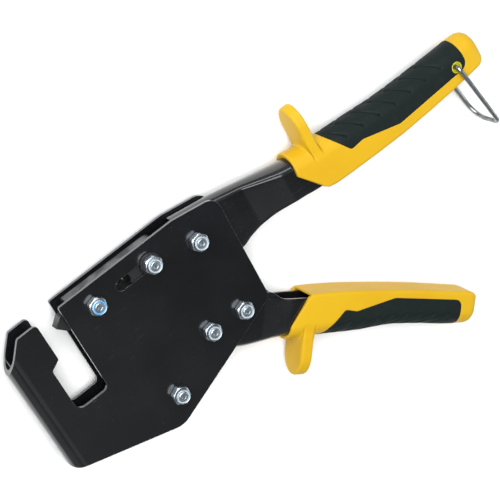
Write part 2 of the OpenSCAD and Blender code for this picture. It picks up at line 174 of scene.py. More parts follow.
def grid_quads(rows, cols, wrap_rows=False, wrap_cols=True):
    """Quads between neighbours of a grid of points that is stored row by row."""
    i = np.arange(rows if wrap_rows else rows - 1)[:, None]
    j = np.arange(cols if wrap_cols else cols - 1)[None]
    i2, j2 = (i + 1) % rows, (j + 1) % cols
    corners = [i * cols + j, i2 * cols + j, i2 * cols + j2, i * cols + j2]
    return np.stack(np.broadcast_arrays(*corners), -1).reshape(-1, 4)


def pole_fan(ring, pole, flip):
    """Triangles from a ring of vertex numbers to one pole vertex."""
    after = np.roll(ring, -1)
    return np.stack([after, ring, np.full_like(ring, pole)] if flip
                    else [ring, after, np.full_like(ring, pole)], -1)


def mesh_from(name, points, faces, sharp_angle=40.0):
    """A smooth-shaded mesh of quads and triangles whose faces point outwards: its signed volume, the
    sum of each triangle's a . (b x c), is made positive. Edges over sharp_angle stay sharp."""
    volume = 0.0
    for block in faces:
        a, b, c = points[block[:, 0]], points[block[:, 1]], points[block[:, 2]]
        volume += (a * np.cross(b, c)).sum()
        if block.shape[1] == 4:
            d = points[block[:, 3]]
            volume += (a * np.cross(c, d)).sum()
    blocks = [block[:, ::-1] if volume < 0 else block for block in faces]
    mesh = bpy.data.meshes.new(name)
    mesh.from_pydata(points.tolist(), [], [face for block in blocks for face in block.tolist()])
    smooth_shading(mesh, sharp_angle)
    return mesh


def smooth_shading(mesh, sharp_angle):
    mesh.polygons.foreach_set("use_smooth", np.ones(len(mesh.polygons), bool))
    mesh.set_sharp_from_angle(angle=math.radians(sharp_angle))
    mesh.update()


def closed_tube(grid, start=None, end=None):
    """Points and faces of a grid (rows, cols, 3) whose columns wrap, closed by a pole at each end,
    or by its own first row after its last where no pole is given."""
    rows, cols = grid.shape[:2]
    points = grid.reshape(-1, 3)
    if start is None:
        return points, [grid_quads(rows, cols, wrap_rows=True)]
    ring = np.arange(cols)
    points = np.concatenate([points, [start, end]])
    fans = np.concatenate([pole_fan(ring, rows * cols, True),
                           pole_fan(ring + (rows - 1) * cols, rows * cols + 1, False)])
    return points, [grid_quads(rows, cols), fans]


def add_piece(mesh, material, *nodes, edge_material=None, modifiers=()):
    """Makes the object, rides it on its CAD node's body and lets it stand for its CAD nodes."""
    piece = bpy.data.objects.new(mesh.name, mesh)
    bpy.context.scene.collection.objects.link(piece)
    for each in filter(None, (material, edge_material)):
        mesh.materials.append(each)
    for kind, settings in modifiers:
        modifier = piece.modifiers.new(kind.title(), kind)
        for key, value in settings.items():
            setattr(modifier, key, value)
    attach(piece, BODY_OF[nodes[0]])
    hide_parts(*nodes)
    return piece


def softened_copy(node, name, material, width, edge_material=None, angle=28.0):
    """A copy of a CAD node's mesh, its doubles merged and its flat facets joined, with its edges over
    angle rounded by width."""
    work = bmesh.new()
    work.from_mesh(frame["nodes"][node].data)
    bmesh.ops.remove_doubles(work, verts=work.verts, dist=2e-6)
    bmesh.ops.dissolve_limit(work, angle_limit=math.radians(0.8), verts=work.verts, edges=work.edges)
    mesh = bpy.data.meshes.new(name)
    work.to_mesh(mesh)
    work.free()
    mesh.materials.clear()
    smooth_shading(mesh, angle)
    bevel = {"width": width, "segments": 3, "limit_method": "ANGLE", "angle_limit": math.radians(angle),
             "harden_normals": True, "use_clamp_overlap": True, "miter_outer": "MITER_ARC"}
    # The bevel faces take edge_material where one is given: on the head, a lighter colour that paints the edge
    # highlight, with wear.
    if edge_material:
        bevel["material"] = 1
    return add_piece(mesh, material, node, edge_material=edge_material, modifiers=[("BEVEL", bevel)])


def lathe(profile, centre, sides=72, radius_at=None):
    """Profile (r, z) turned round the vertical line through centre: x = r cos a, y = r sin a.
    radius_at(a, r, z) may change r round the turn. Zero radii at both ends become poles."""
    profile = np.asarray(profile, float)
    angle = np.linspace(0, 2 * np.pi, sides, endpoint=False)
    poles = profile[0, 0] == 0 and profile[-1, 0] == 0
    body = profile[1:-1] if poles else profile
    r, z = np.broadcast_arrays(body[:, :1], body[:, 1:])
    r = np.repeat(r, sides, axis=1)
    z = np.repeat(z, sides, axis=1)
    if radius_at:
        r = radius_at(angle[None], r, z)
    grid = np.stack([centre[0] + r * np.cos(angle), centre[1] + r * np.sin(angle), centre[2] + z], -1)
    ends = [np.array([centre[0], centre[1], centre[2] + profile[k, 1]]) for k in (0, -1)]
    return closed_tube(grid, *ends) if poles else closed_tube(grid)


def tube(path, across, radius, sides=20):
    """A round wire: the circle across * cos a + (tangent x across) * sin a carried along the path,
    its ends drawn in over a quarter circle to rounded tips."""
    tangent = np.gradient(path, axis=0)
    tangent /= np.linalg.norm(tangent, axis=1, keepdims=True)
    tip = np.radians([90, 65, 40, 15])
    def tips(point, outwards):
        return [point + outwards * radius * 0.6 * np.sin(a) for a in tip]
    points = np.concatenate([tips(path[0], -tangent[0]), path, tips(path[-1], tangent[-1])[::-1]])
    scale = np.concatenate([np.cos(tip), np.ones(len(path)), np.cos(tip)[::-1]]) * radius
    scale[[0, -1]] = radius * 0.25
    last = len(path) - 1
    index = np.concatenate([np.zeros(len(tip), int), np.arange(len(path)), np.full(len(tip), last)])
    t, n = tangent[index], across[index]
    n = n - (n * t).sum(1, keepdims=True) * t
    n /= np.linalg.norm(n, axis=1, keepdims=True)
    b = np.cross(t, n)
    angle = np.linspace(0, 2 * np.pi, sides, endpoint=False)[None, :, None]
    circle = n[:, None] * np.cos(angle) + b[:, None] * np.sin(angle)
    grid = points[:, None] + scale[:, None, None] * circle
    return closed_tube(grid, points[0], points[-1])


# ---------- Shader graphs ----------

class Wire:
    """One output of a shader graph. Arithmetic on it adds Math nodes."""

    def __init__(self, graph, socket):
        self.graph = graph
        self.socket = socket

    def __add__(self, other):
        return self.graph.maths("ADD", self, other)

    def __sub__(self, other):
        return self.graph.maths("SUBTRACT", self, other)

    def __rsub__(self, other):
        return self.graph.maths("SUBTRACT", other, self)

    def __mul__(self, other):
        return self.graph.maths("MULTIPLY", self, other)

    __radd__ = __add__
    __rmul__ = __mul__


class Graph:
    """The node tree of a new material or world."""

    def __init__(self, name, kind="materials", output="OutputMaterial"):
        self.owner = getattr(bpy.data, kind).new(name)
        self.owner.use_nodes = True
        self.output = output
        self.tree = self.owner.node_tree
        self.tree.nodes.clear()

    def node(self, kind, settings=None, values=None, out=0):
        """Adds a node: its settings first, then the values or links of its sockets."""
        made = self.tree.nodes.new("ShaderNode" + kind)
        for key, value in (settings or {}).items():
            setattr(made, key, value)
        for key, value in (values or {}).items():
            if isinstance(value, Wire):
                self.tree.links.new(value.socket, made.inputs[key])
            else:
                made.inputs[key].default_value = value
        return Wire(self, made.outputs[out])

    def maths(self, operation, *values):
        return self.node("Math", {"operation": operation}, dict(enumerate(values)))

    def between(self, value, low, high, start=0.0, end=1.0):
        """start where value is under low, end where it is over high, and smooth between."""
        values = {"Value": value, "From Min": low, "From Max": high, "To Min": start, "To Max": end}
        return self.node("MapRange", {"interpolation_type": "SMOOTHSTEP", "clamp": True}, values)

    def colours(self, factor, first, second):
        return self.node("Mix", {"data_type": "RGBA"}, {0: factor, 6: first, 7: second}, out=2)

    def place(self, stretch=(1.0, 1.0, 1.0), turn=(0.0, 0.0, 0.0)):
        """Object coordinates, turned and stretched."""
        here = self.node("TexCoord", out="Object")
        return self.node("Mapping", None, {"Vector": here, "Scale": stretch, "Rotation": turn})

    def noise(self, size, detail=2.0, roughness=0.5, vector=None):
        """Noise whose features are about size metres across."""
        return self.node("TexNoise", None, {"Vector": vector or self.place(), "Scale": 1 / size,
                                            "Detail": detail, "Roughness": roughness})

    def cells(self, size, vector=None, feature="F1"):
        return self.node("TexVoronoi", {"feature": feature},
                         {"Vector": vector or self.place(), "Scale": 1 / size}, out="Distance")

    def relief(self, height, depth, strength=1.0):
        """Bump of a height from 0 to 1 that stands for depth metres."""
        return self.node("Bump", None, {"Height": height, "Distance": depth, "Strength": strength},
                         out="Normal")

    def surface(self, **sockets):
        """The Principled shader. An underscore in a socket's name stands for a space."""
        values = {name.replace("_", " "): value for name, value in sockets.items()}
        return self.finished(self.node("BsdfPrincipled", None, values))

    def finished(self, shader):
        out = self.tree.nodes.new("ShaderNode" + self.output)
        self.tree.links.new(shader.socket, out.inputs["Surface"])
        return self.owner


def shade(colour, factor):
    return (*[c * factor for c in colour[:3]], 1.0)


def gloss_paint(name, colour, polish):
    """Stoved gloss paint: a low orange peel, patchy polish, dust specks and a few hairline scratches."""
    g = Graph(name)
    patches = g.noise(0.03, 3.0)
    specks = g.between(g.noise(0.0009, 1.0), 0.72, 0.8)
    hairline = g.noise(0.0006, 2.0, vector=g.place((0.04, 1.0, 1.0), (0, 0, 0.6)))
    scratch = g.between(hairline, 0.7, 0.74) * g.between(patches, 0.5, 0.65)
    peel = g.noise(0.0016, 2.0)
    dusty = g.colours(specks * 0.2 + scratch * 0.3, shade(colour, 1.0), (0.12, 0.125, 0.13, 1.0))
    base = g.colours(g.between(patches, 0.35, 0.75) * 0.5, dusty, shade(colour, 1.7))
    rough = g.between(patches, 0.3, 0.7, polish, polish + 0.07) + specks * 0.15 + scratch * 0.15
    height = peel * 0.7 - scratch * 0.5 + specks * 0.4
    return g.surface(Base_Color=base, Roughness=rough, Normal=g.relief(height, 0.00002, 0.35),
                     IOR=1.5, Coat_Weight=0.6, Coat_Roughness=0.06)


def worn_edge_and_painted_highlight(name, colour):
    """Edge colour: the paint made much lighter all along the edge as a painted highlight, and in places nearly
    rubbed through to a light steel grey, real wear that also adds to the highlight.
    """
    g = Graph(name)
    rubbed = g.between(g.noise(0.006, 3.0, 0.6), 0.3, 0.75)
    # Painted highlight: the paint colour times sixteen on every edge, mixed in patches with rubbed-through steel
    # grey.
    base = g.colours(rubbed, shade(colour, 16.0), (0.27, 0.28, 0.295, 1.0))
    return g.surface(Base_Color=base, Metallic=rubbed * 0.35, Roughness=0.34 + rubbed * 0.1,
                     Normal=g.relief(g.noise(0.0012, 2.0), 0.00003, 0.5), Coat_Weight=0.4)


def plated_steel(name, colour, tint):
    """Zinc plate: crystalline mottling, a passivation tint in patches, and faint tool marks."""
    g = Graph(name)
    mottle = g.cells(0.0007)
    patches = g.noise(0.004, 3.0)
    marks = g.noise(0.0004, 3.0, 0.6, g.place((1.0, 1.0, 0.12)))
    base = g.colours(g.between(patches, 0.35, 0.65), shade(colour, 1.0), shade(tint, 1.0))
    rough = g.between(mottle, 0.0, 0.8, 0.2, 0.36) + marks * 0.06
    height = mottle * 0.4 + marks * 0.6
    return g.surface(Base_Color=base, Metallic=1.0, Roughness=rough,
                     Normal=g.relief(height, 0.00001, 0.5))


def drawn_wire(name, colour, turn):
    """Drawn and plated wire: lines along the drawing direction and dull handling patches."""
    g = Graph(name)
    lines = g.noise(0.0005, 3.0, 0.6, g.place((1.0, 0.06, 1.0), (0, 0, turn)))
    dull = g.between(g.noise(0.008, 3.0), 0.4, 0.7)
    base = g.colours(dull, shade(colour, 1.0), shade(colour, 0.62))
    return g.surface(Base_Color=base, Metallic=1.0, Roughness=0.24 + dull * 0.16 + lines * 0.08,
                     Normal=g.relief(lines, 0.00001, 0.6))


def blackened_steel(name, colour, grain):
    """Blackened and oiled plate: grinding lines, oil pools and rubbed patches of bare steel."""
    g = Graph(name)
    lines = g.noise(grain, 4.0, 0.65, g.place((0.08, 1.0, 1.0)))
    oil = g.between(g.noise(0.012, 2.0), 0.42, 0.62)
    rubbed = g.between(g.noise(0.006, 5.0, 0.7), 0.55, 0.72)
    base = g.colours(rubbed, shade(colour, 1.0), shade(colour, 2.6))
    return g.surface(Base_Color=base, Metallic=0.75, Roughness=0.42 - oil * 0.16 + lines * 0.08,
                     Normal=g.relief(lines, 0.00002, 0.5), Coat_Weight=oil * 0.4)


def ground_steel(name, colour):
    """Bright turned or ground steel: rings of fine tool marks and light stains."""
    g = Graph(name)
    rings = g.noise(0.00035, 3.0, 0.6, g.place((0.1, 0.1, 1.0)))
    stain = g.between(g.noise(0.005, 4.0), 0.5, 0.75)
    base = g.colours(stain, shade(colour, 1.0), shade((0.42, 0.38, 0.33), 1.0))
    return g.surface(Base_Color=base, Metallic=1.0, Roughness=0.22 + rings * 0.14 + stain * 0.12,
                     Normal=g.relief(rings, 0.00001, 0.5))


def moulded_plastic(name, colour, deep):
    """Injection-moulded plastic: a fine spark-eroded grain, slow flow shades and light scuffs."""
    g = Graph(name)
    flow = g.noise(0.035, 2.0, vector=g.place((0.5, 1.0, 1.0), (0, 0, 0.4)))
    grain = g.noise(0.0005, 3.0, 0.6)
    scuff = g.between(g.noise(0.0007, 3.0, 0.6, g.place((0.12, 1.0, 1.0), (0, 0, 0.9))), 0.64, 0.7)
    scuff = scuff * g.between(g.noise(0.02, 2.0), 0.52, 0.66)
    base = g.colours(g.between(flow, 0.3, 0.75), shade(colour, 1.0), shade(deep, 1.0))
    base = g.colours(scuff * 0.25, base, shade(colour, 0.7))
    rough = g.between(flow, 0.3, 0.7, 0.38, 0.46) + grain * 0.06 + scuff * 0.12
    return g.surface(Base_Color=base, Roughness=rough, IOR=1.46, Specular_IOR_Level=0.22,
                     Normal=g.relief(grain - scuff * 0.4, 0.000025, 0.35),
                     Subsurface_Weight=0.06, Subsurface_Radius=(0.004, 0.002, 0.0006))


def soft_touch(name, colour):
    """Soft overmould: a pebbled texture, dust in its valleys and slightly polished touch patches."""
    g = Graph(name)
    pebbles = g.cells(0.00085, feature="SMOOTH_F1")
    fine = g.noise(0.0004, 3.0, 0.6)
    worn = g.between(g.noise(0.018, 3.0), 0.42, 0.68)
    dust = g.between(g.noise(0.006, 5.0, 0.65), 0.5, 0.8)
    base = g.colours(dust * 0.55, shade(colour, 1.0), shade(colour, 1.9))
    rough = g.between(worn, 0.0, 1.0, 0.66, 0.54) + pebbles * 0.08
    height = (1.0 - pebbles) * 0.7 + fine * 0.3
    return g.surface(Base_Color=base, Roughness=rough, IOR=1.5,
                     Normal=g.relief(height, 0.00004, 0.45), Specular_IOR_Level=0.15)


def nylon(name, colour, milk):
    """Nylon locking ring: milky, faintly waxy and lightly scored by the thread."""
    g = Graph(name)
    cloud = g.noise(0.0015, 2.0)
    scored = g.noise(0.0003, 2.0, vector=g.place((1.0, 1.0, 0.1)))
    base = g.colours(cloud, shade(colour, 1.0), shade(colour, milk))
    return g.surface(Base_Color=base, Roughness=0.36 + scored * 0.14, IOR=1.53,
                     Normal=g.relief(scored, 0.00002, 0.4),
                     Subsurface_Weight=0.2, Subsurface_Radius=(0.001, 0.001, 0.001))


# ---------- Settings ----------

def length_setting(name, description, default, low, high):
    return bpy.props.FloatProperty(name=name, description=description, default=default, min=low, max=high,
                                   unit="LENGTH", precision=5)


class CrimperSizes(bpy.types.PropertyGroup):
    """Sizes of the finishing detail that the frame leaves open."""

    plate_edge: length_setting("Plate edge", "Rounding of the head plates' cut edges",
                               0.00045, 0.0001, 0.0006)
    part_edge: length_setting("Part edge", "Rounding of the small steel parts' edges",
                              0.00025, 0.00005, 0.0004)
    lever_edge: length_setting("Lever edge", "Rounding of the levers' open edges", 0.0004, 0.0001, 0.0006)
    guard_edge: length_setting("Guard edge", "Rounding round the finger guards", 0.0016, 0.0005, 0.003)
    guard_root: length_setting("Guard root", "Fillet where a finger guard leaves its grip",
                               0.0022, 0.001, 0.0028)
    soft_proud: length_setting("Overmould height", "How far the soft overmould stands above the plastic",
                               0.0002, 0.0, 0.0003)
    groove_depth: length_setting("Groove depth", "Depth of the overmould's grip grooves",
                                 0.0009, 0.0, 0.0011)
    groove_width: length_setting("Groove width", "Half width of the overmould's grip grooves",
                                 0.0014, 0.001, 0.0022)
    thread_pitch: length_setting("Thread pitch", "Pitch of the bolts' threads", 0.001, 0.0008, 0.00125)


def colour_setting(name, description, default):
    return bpy.props.FloatVectorProperty(name=name, description=description, default=default,
                                         size=3, min=0.0, max=1.0, subtype="COLOR")


class CrimperColours(bpy.types.PropertyGroup):
    """Colours of the finishes, linear."""

    paint: colour_setting("Head paint", "Gloss paint of the head", (0.0045, 0.005, 0.0062))
    lever_paint: colour_setting("Lever paint", "Gloss paint of the levers", (0.0045, 0.005, 0.006))
    grip: colour_setting("Grip plastic", "Moulded grips and guards", (0.56, 0.343, 0.010))
    grip_deep: colour_setting("Grip shade", "Where the plastic's colour is deeper", (0.53, 0.305, 0.007))
    soft: colour_setting("Overmould", "Soft overmould", (0.0052, 0.0098, 0.0096))
    zinc: colour_setting("Zinc plate", "Nuts and bolts", (0.46, 0.50, 0.54))
    zinc_tint: colour_setting("Zinc tint", "Passivation of the zinc", (0.34, 0.41, 0.47))
    wire: colour_setting("Wire", "Bail", (0.30, 0.315, 0.33))
    black_steel: colour_setting("Black steel", "Punch slide and blade", (0.034, 0.035, 0.037))
    bright_steel: colour_setting("Bright steel", "Bushes, pins and spring", (0.52, 0.53, 0.55))
    blue_nylon: colour_setting("Blue nylon", "Locking ring of the guide nut", (0.06, 0.27, 0.55))
    clear_nylon: colour_setting("Clear nylon", "The other locking rings", (0.33, 0.39, 0.43))
    eyelet: colour_setting("Eyelet", "Bushes of the bail", (0.55, 0.52, 0.03))


def sizes():
    """The size settings in millimetres."""
    group = bpy.context.scene.crimper_sizes
    return {name: getattr(group, name) / MM for name in CrimperSizes.__annotations__}


FINISHES = {
    "head_finish": (gloss_paint, "paint", 0.16),
    "lever_finish": (gloss_paint, "lever_paint", 0.2),
    # Head edges: wear plus a painted highlight, the paint made far lighter along the bevels.
    "edge_finish": (worn_edge_and_painted_highlight, "paint"),
    "grip_finish": (moulded_plastic, "grip", "grip_deep"),
    "soft_finish": (soft_touch, "soft"),
    "zinc_finish": (plated_steel, "zinc", "zinc_tint"),
    "wire_finish": (drawn_wire, "wire", 1.45),
    "slide_finish": (blackened_steel, "black_steel", 0.0006),
    "blade_finish": (blackened_steel, "black_steel", 0.0003),
    "washer_finish": (blackened_steel, "black_steel", 0.0004),
    "turned_finish": (ground_steel, "bright_steel"),
    "spring_finish": (ground_steel, "bright_steel"),
    "blue_finish": (nylon, "blue_nylon", 1.5),
    "clear_finish": (nylon, "clear_nylon", 1.2),
    "eyelet_finish": (nylon, "eyelet", 0.8),
}


def finish(name):
    """The material of a finish, made the first time that it is asked for. Its maker's arguments are
    the names of colour settings, or numbers."""
    known = bpy.data.materials.get(name)
    if known:
        return known
    colours = bpy.context.scene.crimper_colours
    maker, *arguments = FINISHES[name]
    return maker(name, *[getattr(colours, each) if isinstance(each, str) else each for each in arguments])


# ---------- Levers ----------
# Sections along a lever: the back, the open edge and the flare from neck to full width, each by
# distance along it, as the pressing was laid out.

LEVER_SHEET = 2.0
LEVER_HALF_WIDTH = 9.0
DOME_SHARE = 0.72

UPPER_BACK = [[-6, 18.6], [18, 14.9], [69, 4], [96, 0], [115, -0.6], [144, -3.5], [172, -3.5]]
UPPER_OPEN = [[-6, -11], [14, -20], [22, -22], [30, -19.6], [38, -18.1], [48, -17.3], [66, -18.7],
              [80, -20.5], [110, -21.5], [172, -18]]
UPPER_FLARE = [[38, 0], [62, 1]]
LOWER_BACK = [[-75, 29], [-45, 30.5], [-14, 25], [14, 22], [33, 20.5], [62, 17], [92, 17]]
LOWER_OPEN = [[-75, 8], [-62, 6.5], [-46, -1.5], [-27, -2.8], [-17, 1.2], [0, 0.8], [30, 1.2], [92, 2.5]]
LOWER_FLARE = [[-29, 0], [-13, 1]]


def lever_width(s, flare, neck):
    return neck + (LEVER_HALF_WIDTH - neck) * smooth(s, flare)


def channel_grid(s, back, open_edge, flare, neck, edge):
    """A pressed channel, closed as one loop per station: along the outside from one open edge over
    the rounded back, z = w cos a and h = back - dome + dome sin a, to the other, and back inside
    one sheet thickness in, its rims rounded by edge."""
    s = s[:, None]
    hi, lo = smooth(s, back), smooth(s, open_edge)
    w = lever_width(s, flare, neck)
    over = np.linspace(0, np.pi, 41)[None]
    down = np.linspace(0, 1, 9)[None, 1:-1]
    def arch(half, top):
        dome = half * DOME_SHARE
        near = np.stack(np.broadcast_arrays(lo + edge + (top - dome - lo - edge) * down, half), -1)
        crown = top - dome + dome * np.sin(over)
        top_points = np.stack(np.broadcast_arrays(crown, half * np.cos(over)), -1)
        far = near[:, ::-1] * [1, -1]
        return np.concatenate([near, top_points, far], 1)
    outer, inner = arch(w, hi), arch(w - LEVER_SHEET, hi - LEVER_SHEET)[:, ::-1]
    turn = np.radians([0, 30, 60, 90])[None]
    def rim(side):
        out = np.stack(np.broadcast_arrays(lo + edge - edge * np.sin(turn),
                                           side * (w - edge + edge * np.cos(turn))), -1)
        back_in = np.stack(np.broadcast_arrays(lo + edge - edge * np.cos(turn),
                                               side * (w - LEVER_SHEET + edge - edge * np.sin(turn))), -1)
        return np.concatenate([out, back_in], 1)
    loop = np.concatenate([outer, rim(-1), inner, rim(1)[:, ::-1]], 1)
    along = np.broadcast_to(s[..., None], loop.shape[:2] + (1,))
    return np.concatenate([along, loop], -1), outer.shape[1]


def lever_mesh(name, grid, outer_count, to_row):
    """A channel's mesh: its two cut ends are closed by joining each outer point to the inner point
    across the sheet."""
    rows, cols = grid.shape[:2]
    points = to_row(grid.reshape(-1, 3))
    quads = grid_quads(rows, cols)
    rim = 8
    outer = np.arange(-rim // 2, outer_count + rim // 2)
    inner = (outer_count - 1 + rim + outer_count - outer) % cols
    outer = outer % cols
    first = np.stack([outer[:-1], outer[1:], inner[1:], inner[:-1]], -1)
    last = (first + (rows - 1) * cols)[:, ::-1]
    return mesh_from(name, points, [quads, first, last], 35.0)


def ear_mesh(name, low, high, edge):
    """One of the two ears that hang from the pivot to the drive pin. Its outline round the pivot is
    the hull of two circles: at angle a it lies where the outer tangent line, or the nearer circle,
    is met. It is turned about the pivot as rings from the bore to the outline, with eased edges."""
    bore, ear, tip, reach = 5.05, 12.5, 7.3, 33.3
    lean = math.acos((ear - tip) / reach)
    a = np.linspace(-np.pi, np.pi, 120, endpoint=False)
    away = np.abs(a)
    line = ear / np.maximum(np.cos(away - lean), 1e-3)
    chord = reach * np.cos(a) + np.sqrt(np.maximum(tip**2 - (reach * np.sin(a))**2, 0))
    reach_tip = math.atan2(tip * math.sin(lean), reach + tip * math.cos(lean))
    outline = np.where(away < reach_tip, chord, np.where(away < lean, line, ear))
    rows = [(bore, low), (bore, high - edge), (bore + edge, high), (None, edge, high),
            (None, 0, high - edge), (None, 0, low + edge), (None, edge, low)]
    rings = []
    for row in rows:
        r = np.full_like(a, row[0]) if row[0] is not None else outline - row[1]
        angle = a + math.radians(17.5 - 90)
        rings.append(np.stack([r * np.cos(angle), r * np.sin(angle), np.full_like(a, row[-1])], -1))
    points, faces = closed_tube(np.stack(rings))
    return mesh_from(name, place(points), faces, 30.0)


# ---------- Grips ----------

@dataclass
class Grip:
    """A grip's own frame: s runs back from its inner front corner, h away from the other handle."""
    name: str
    corner: tuple
    turn: float
    side: float
    length: float
    back_knots: list
    face_knots: list
    front_knots: list
    guard: tuple
    guard_tip: float
    guard_lean: float
    border: list
    lever: tuple
    ticks: np.ndarray
    tick_girth: float
    sweep: float

    def to_row(self, points):
        """Turned by the grip's angle and moved to its corner; h is mirrored on the lower grip."""
        s, h, z = points[..., 0], points[..., 1] * self.side, points[..., 2]
        c, n = math.cos(self.turn), math.sin(self.turn)
        x = self.corner[0] + s * c - h * n
        y = self.corner[1] + s * n + h * c
        return place(np.stack([x, y, z], -1))

    def back(self, s):
        return smooth(s, self.back_knots)

    def face(self, s):
        return smooth(s, self.face_knots)

    def front(self, h):
        """Where the ferrule ends at height h."""
        knots = np.asarray(self.front_knots)
        return np.interp(h, knots[:, 1], knots[:, 0])


def in_grip(knots, corner, turn):
    """Knots of the mechanism frame seen from a grip's frame: moved to its corner and turned back."""
    d = np.asarray(knots, float) - np.asarray(corner)
    c, n = math.cos(turn), math.sin(turn)
    return np.stack([d[:, 0] * c + d[:, 1] * n, d[:, 1] * c - d[:, 0] * n], -1)


GRIP_HALF_WIDTH = 11.25
GRIP_DOME = 10.0                    # height of the elliptic back
GRIP_CORNER = 2.0
DOME_RADIUS = 10.6                  # of the arc that measures distance round the back
NOSE, NOSE_CROWN = 7.0, 0.45
SHELL_END = 12.4                    # where the guard's stations end and the even ones begin
STATION_STEP = 0.62
LIP = 0.8                           # rounding of the ferrule's front edge
BED_DEPTH = 1.25                    # of the plastic under the overmould
ROLL_WIDTH, ROLL_DEPTH = 0.9, 0.85  # rounding of the overmould's border
EYELET = (106.7, 7.9)
UPPER_CORNER, UPPER_TURN = (82.0, -25.2), math.radians(2.5)
LOWER_CORNER, LOWER_TURN = (42.1, -73.5), math.radians(-36.3)
UPPER_GRIP = Grip(
    name="upper", corner=UPPER_CORNER, turn=UPPER_TURN, side=1.0, length=127.0,
    back_knots=[[-13, 33.4], [12, 28.2], [35, 25.4], [62, 22.2], [100, 20.6], [130, 20]],
    face_knots=[[-13, 4.4], [0, 2], [8, 0.3], [24, -1], [45, -2.4], [62, -3.1], [80, -3.3], [96, -3.1],
                [112, -2.3], [130, -1]],
    front_knots=[[4, -8], [0.9, 2], [-12, 20.3], [-9.6, 33.4], [-9.6, 60]],
    guard=(1.7, 9.2), guard_tip=54.5, guard_lean=1.5,
    border=[(13.5, 40, 0), (13.5, 29.4, 1), (24.2, 11.4, 3), (33.5, 11.8, 4), (58.5, 3.75, 6),
            (114.1, 3.75, 5.5), (114.4, 40, 0)],
    lever=(in_grip(UPPER_BACK, UPPER_CORNER, UPPER_TURN), in_grip(UPPER_OPEN, UPPER_CORNER, UPPER_TURN),
           [[38 - 82, 0], [62 - 82, 1]], 5.8),
    ticks=26.2 + 12.0 * np.arange(7), tick_girth=13.2, sweep=12.0)
LOWER_GRIP = Grip(
    name="lower", corner=LOWER_CORNER, turn=LOWER_TURN, side=-1.0, length=119.0,
    back_knots=[[-13, 27.2], [12, 24.9], [35, 23.6], [62, 20.9], [80, 21.4], [100, 22.6], [130, 23]],
    face_knots=[[-13, -1], [0, -1.8], [8, -2.3], [24, -2.8], [40, -2.6], [55, -2.2], [75, -1.4],
                [90, -0.4], [100, 0.4], [112, 1.2], [130, 2.5]],
    front_knots=[[2.5, -8], [-1.5, -1.6], [-12.9, 17], [-12.9, 60]],
    guard=(-4.5, 4.1), guard_tip=49.6, guard_lean=0.0,
    border=[(8.5, 40, 0), (8.5, 24.2, 0.5), (22.6, 8.1, 2.5), (30.5, 9.4, 3), (56.5, 2.2, 5),
            (106, 5.6, 5), (106.2, 40, 0)],
    lever=(LOWER_BACK, LOWER_OPEN, LOWER_FLARE, 6.0),
    ticks=26.5 + 10.0 * np.arange(8), tick_girth=14.6, sweep=19.0)


def grip_width(s):
    return GRIP_HALF_WIDTH + np.interp(s, [55, 100], [0, -0.95])


COLUMNS = {"dome": 88, "flank": 30, "corner": 6, "face": 16}


def column_parts():
    """Which columns of a closed section are dome, near flank, near corner, face, far corner and far
    flank, in that order round it, and how far along its part each one is."""
    names = ["dome", "flank", "corner", "face", "corner", "flank"]
    part = np.concatenate([np.full(COLUMNS[n], k) for k, n in enumerate(names)])
    along = np.concatenate([np.arange(COLUMNS[n]) / COLUMNS[n] for n in names])
    return part, along


PART, ALONG = column_parts()


def section(hi, lo, w, dome, corner):
    """A closed section of a grip and its outward normals, as (h, z): an elliptic dome over the back,
    z = w sin a and h = hi - dome + dome cos a, upright flanks, rounded corners and a flat face."""
    hi, lo, w, dome, corner = np.broadcast_arrays(hi, lo, w, dome, corner)
    part, along = np.broadcast_arrays(PART, ALONG)
    over = np.pi * along - np.pi / 2
    bend = np.pi / 2 * along
    top, foot = hi - dome, lo + corner
    zero = np.zeros_like(hi)
    pieces = [
        (hi - dome + dome * np.cos(over), w * np.sin(over), w * np.cos(over), dome * np.sin(over)),
        (top + (foot - top) * along, w, zero, zero + 1),
        (foot - corner * np.sin(bend), w - corner + corner * np.cos(bend), -np.sin(bend), np.cos(bend)),
        (lo, (w - corner) * (1 - 2 * along), zero - 1, zero),
        (foot - corner * np.cos(bend), -(w - corner) - corner * np.sin(bend), -np.cos(bend), -np.sin(bend)),
        (foot + (top - foot) * along, -w, zero, zero - 1),
    ]
    h, z, nh, nz = [np.choose(part, [np.broadcast_to(p[k], hi.shape) for p in pieces]) for k in range(4)]
    size = np.hypot(nh, nz)
    return h, z, nh / size, nz / size


def grip_section(grip, s, inset=0.0):
    return section(grip.back(s) - inset, grip.face(s) + inset, grip_width(s) - inset,
                   GRIP_DOME - inset / 2, np.maximum(GRIP_CORNER - inset / 2, 0.8))


def girth(grip, s, h):
    """Distance round the section from the middle of the back to height h: an arc, then the flank."""
    top = grip.back(s) - GRIP_DOME
    over = np.arccos(np.clip((h - top) / GRIP_DOME, -1, 1))
    return np.where(h > top, DOME_RADIUS * over, DOME_RADIUS * np.pi / 2 + top - h)


def soft_border(grip):
    """Border of the soft overmould as (s, girth), from the middle of the back at its front, down and
    along the flank, and up to the middle of the back at its rear."""
    path = walk(rounded(grip.border), np.linspace(0, 1, 320))
    path = path[path[:, 1] < grip.back(path[:, 0])]
    g = girth(grip, path[:, 0], path[:, 1])
    front, rear = [path[0, 0], 0.0], [path[-1, 0], 0.0]
    return np.concatenate([[front], np.stack([path[:, 0], g], -1), [rear]])


def eyelet_pit(s, h, z, depth):
    """Depth of the hole that an eyelet sits in: full inside its wall, none outside it."""
    away = np.hypot(s - EYELET[0], h - EYELET[1])
    return depth * (1 - ease(away, 2.95, 3.3)) * (np.abs(z) > 7.5)


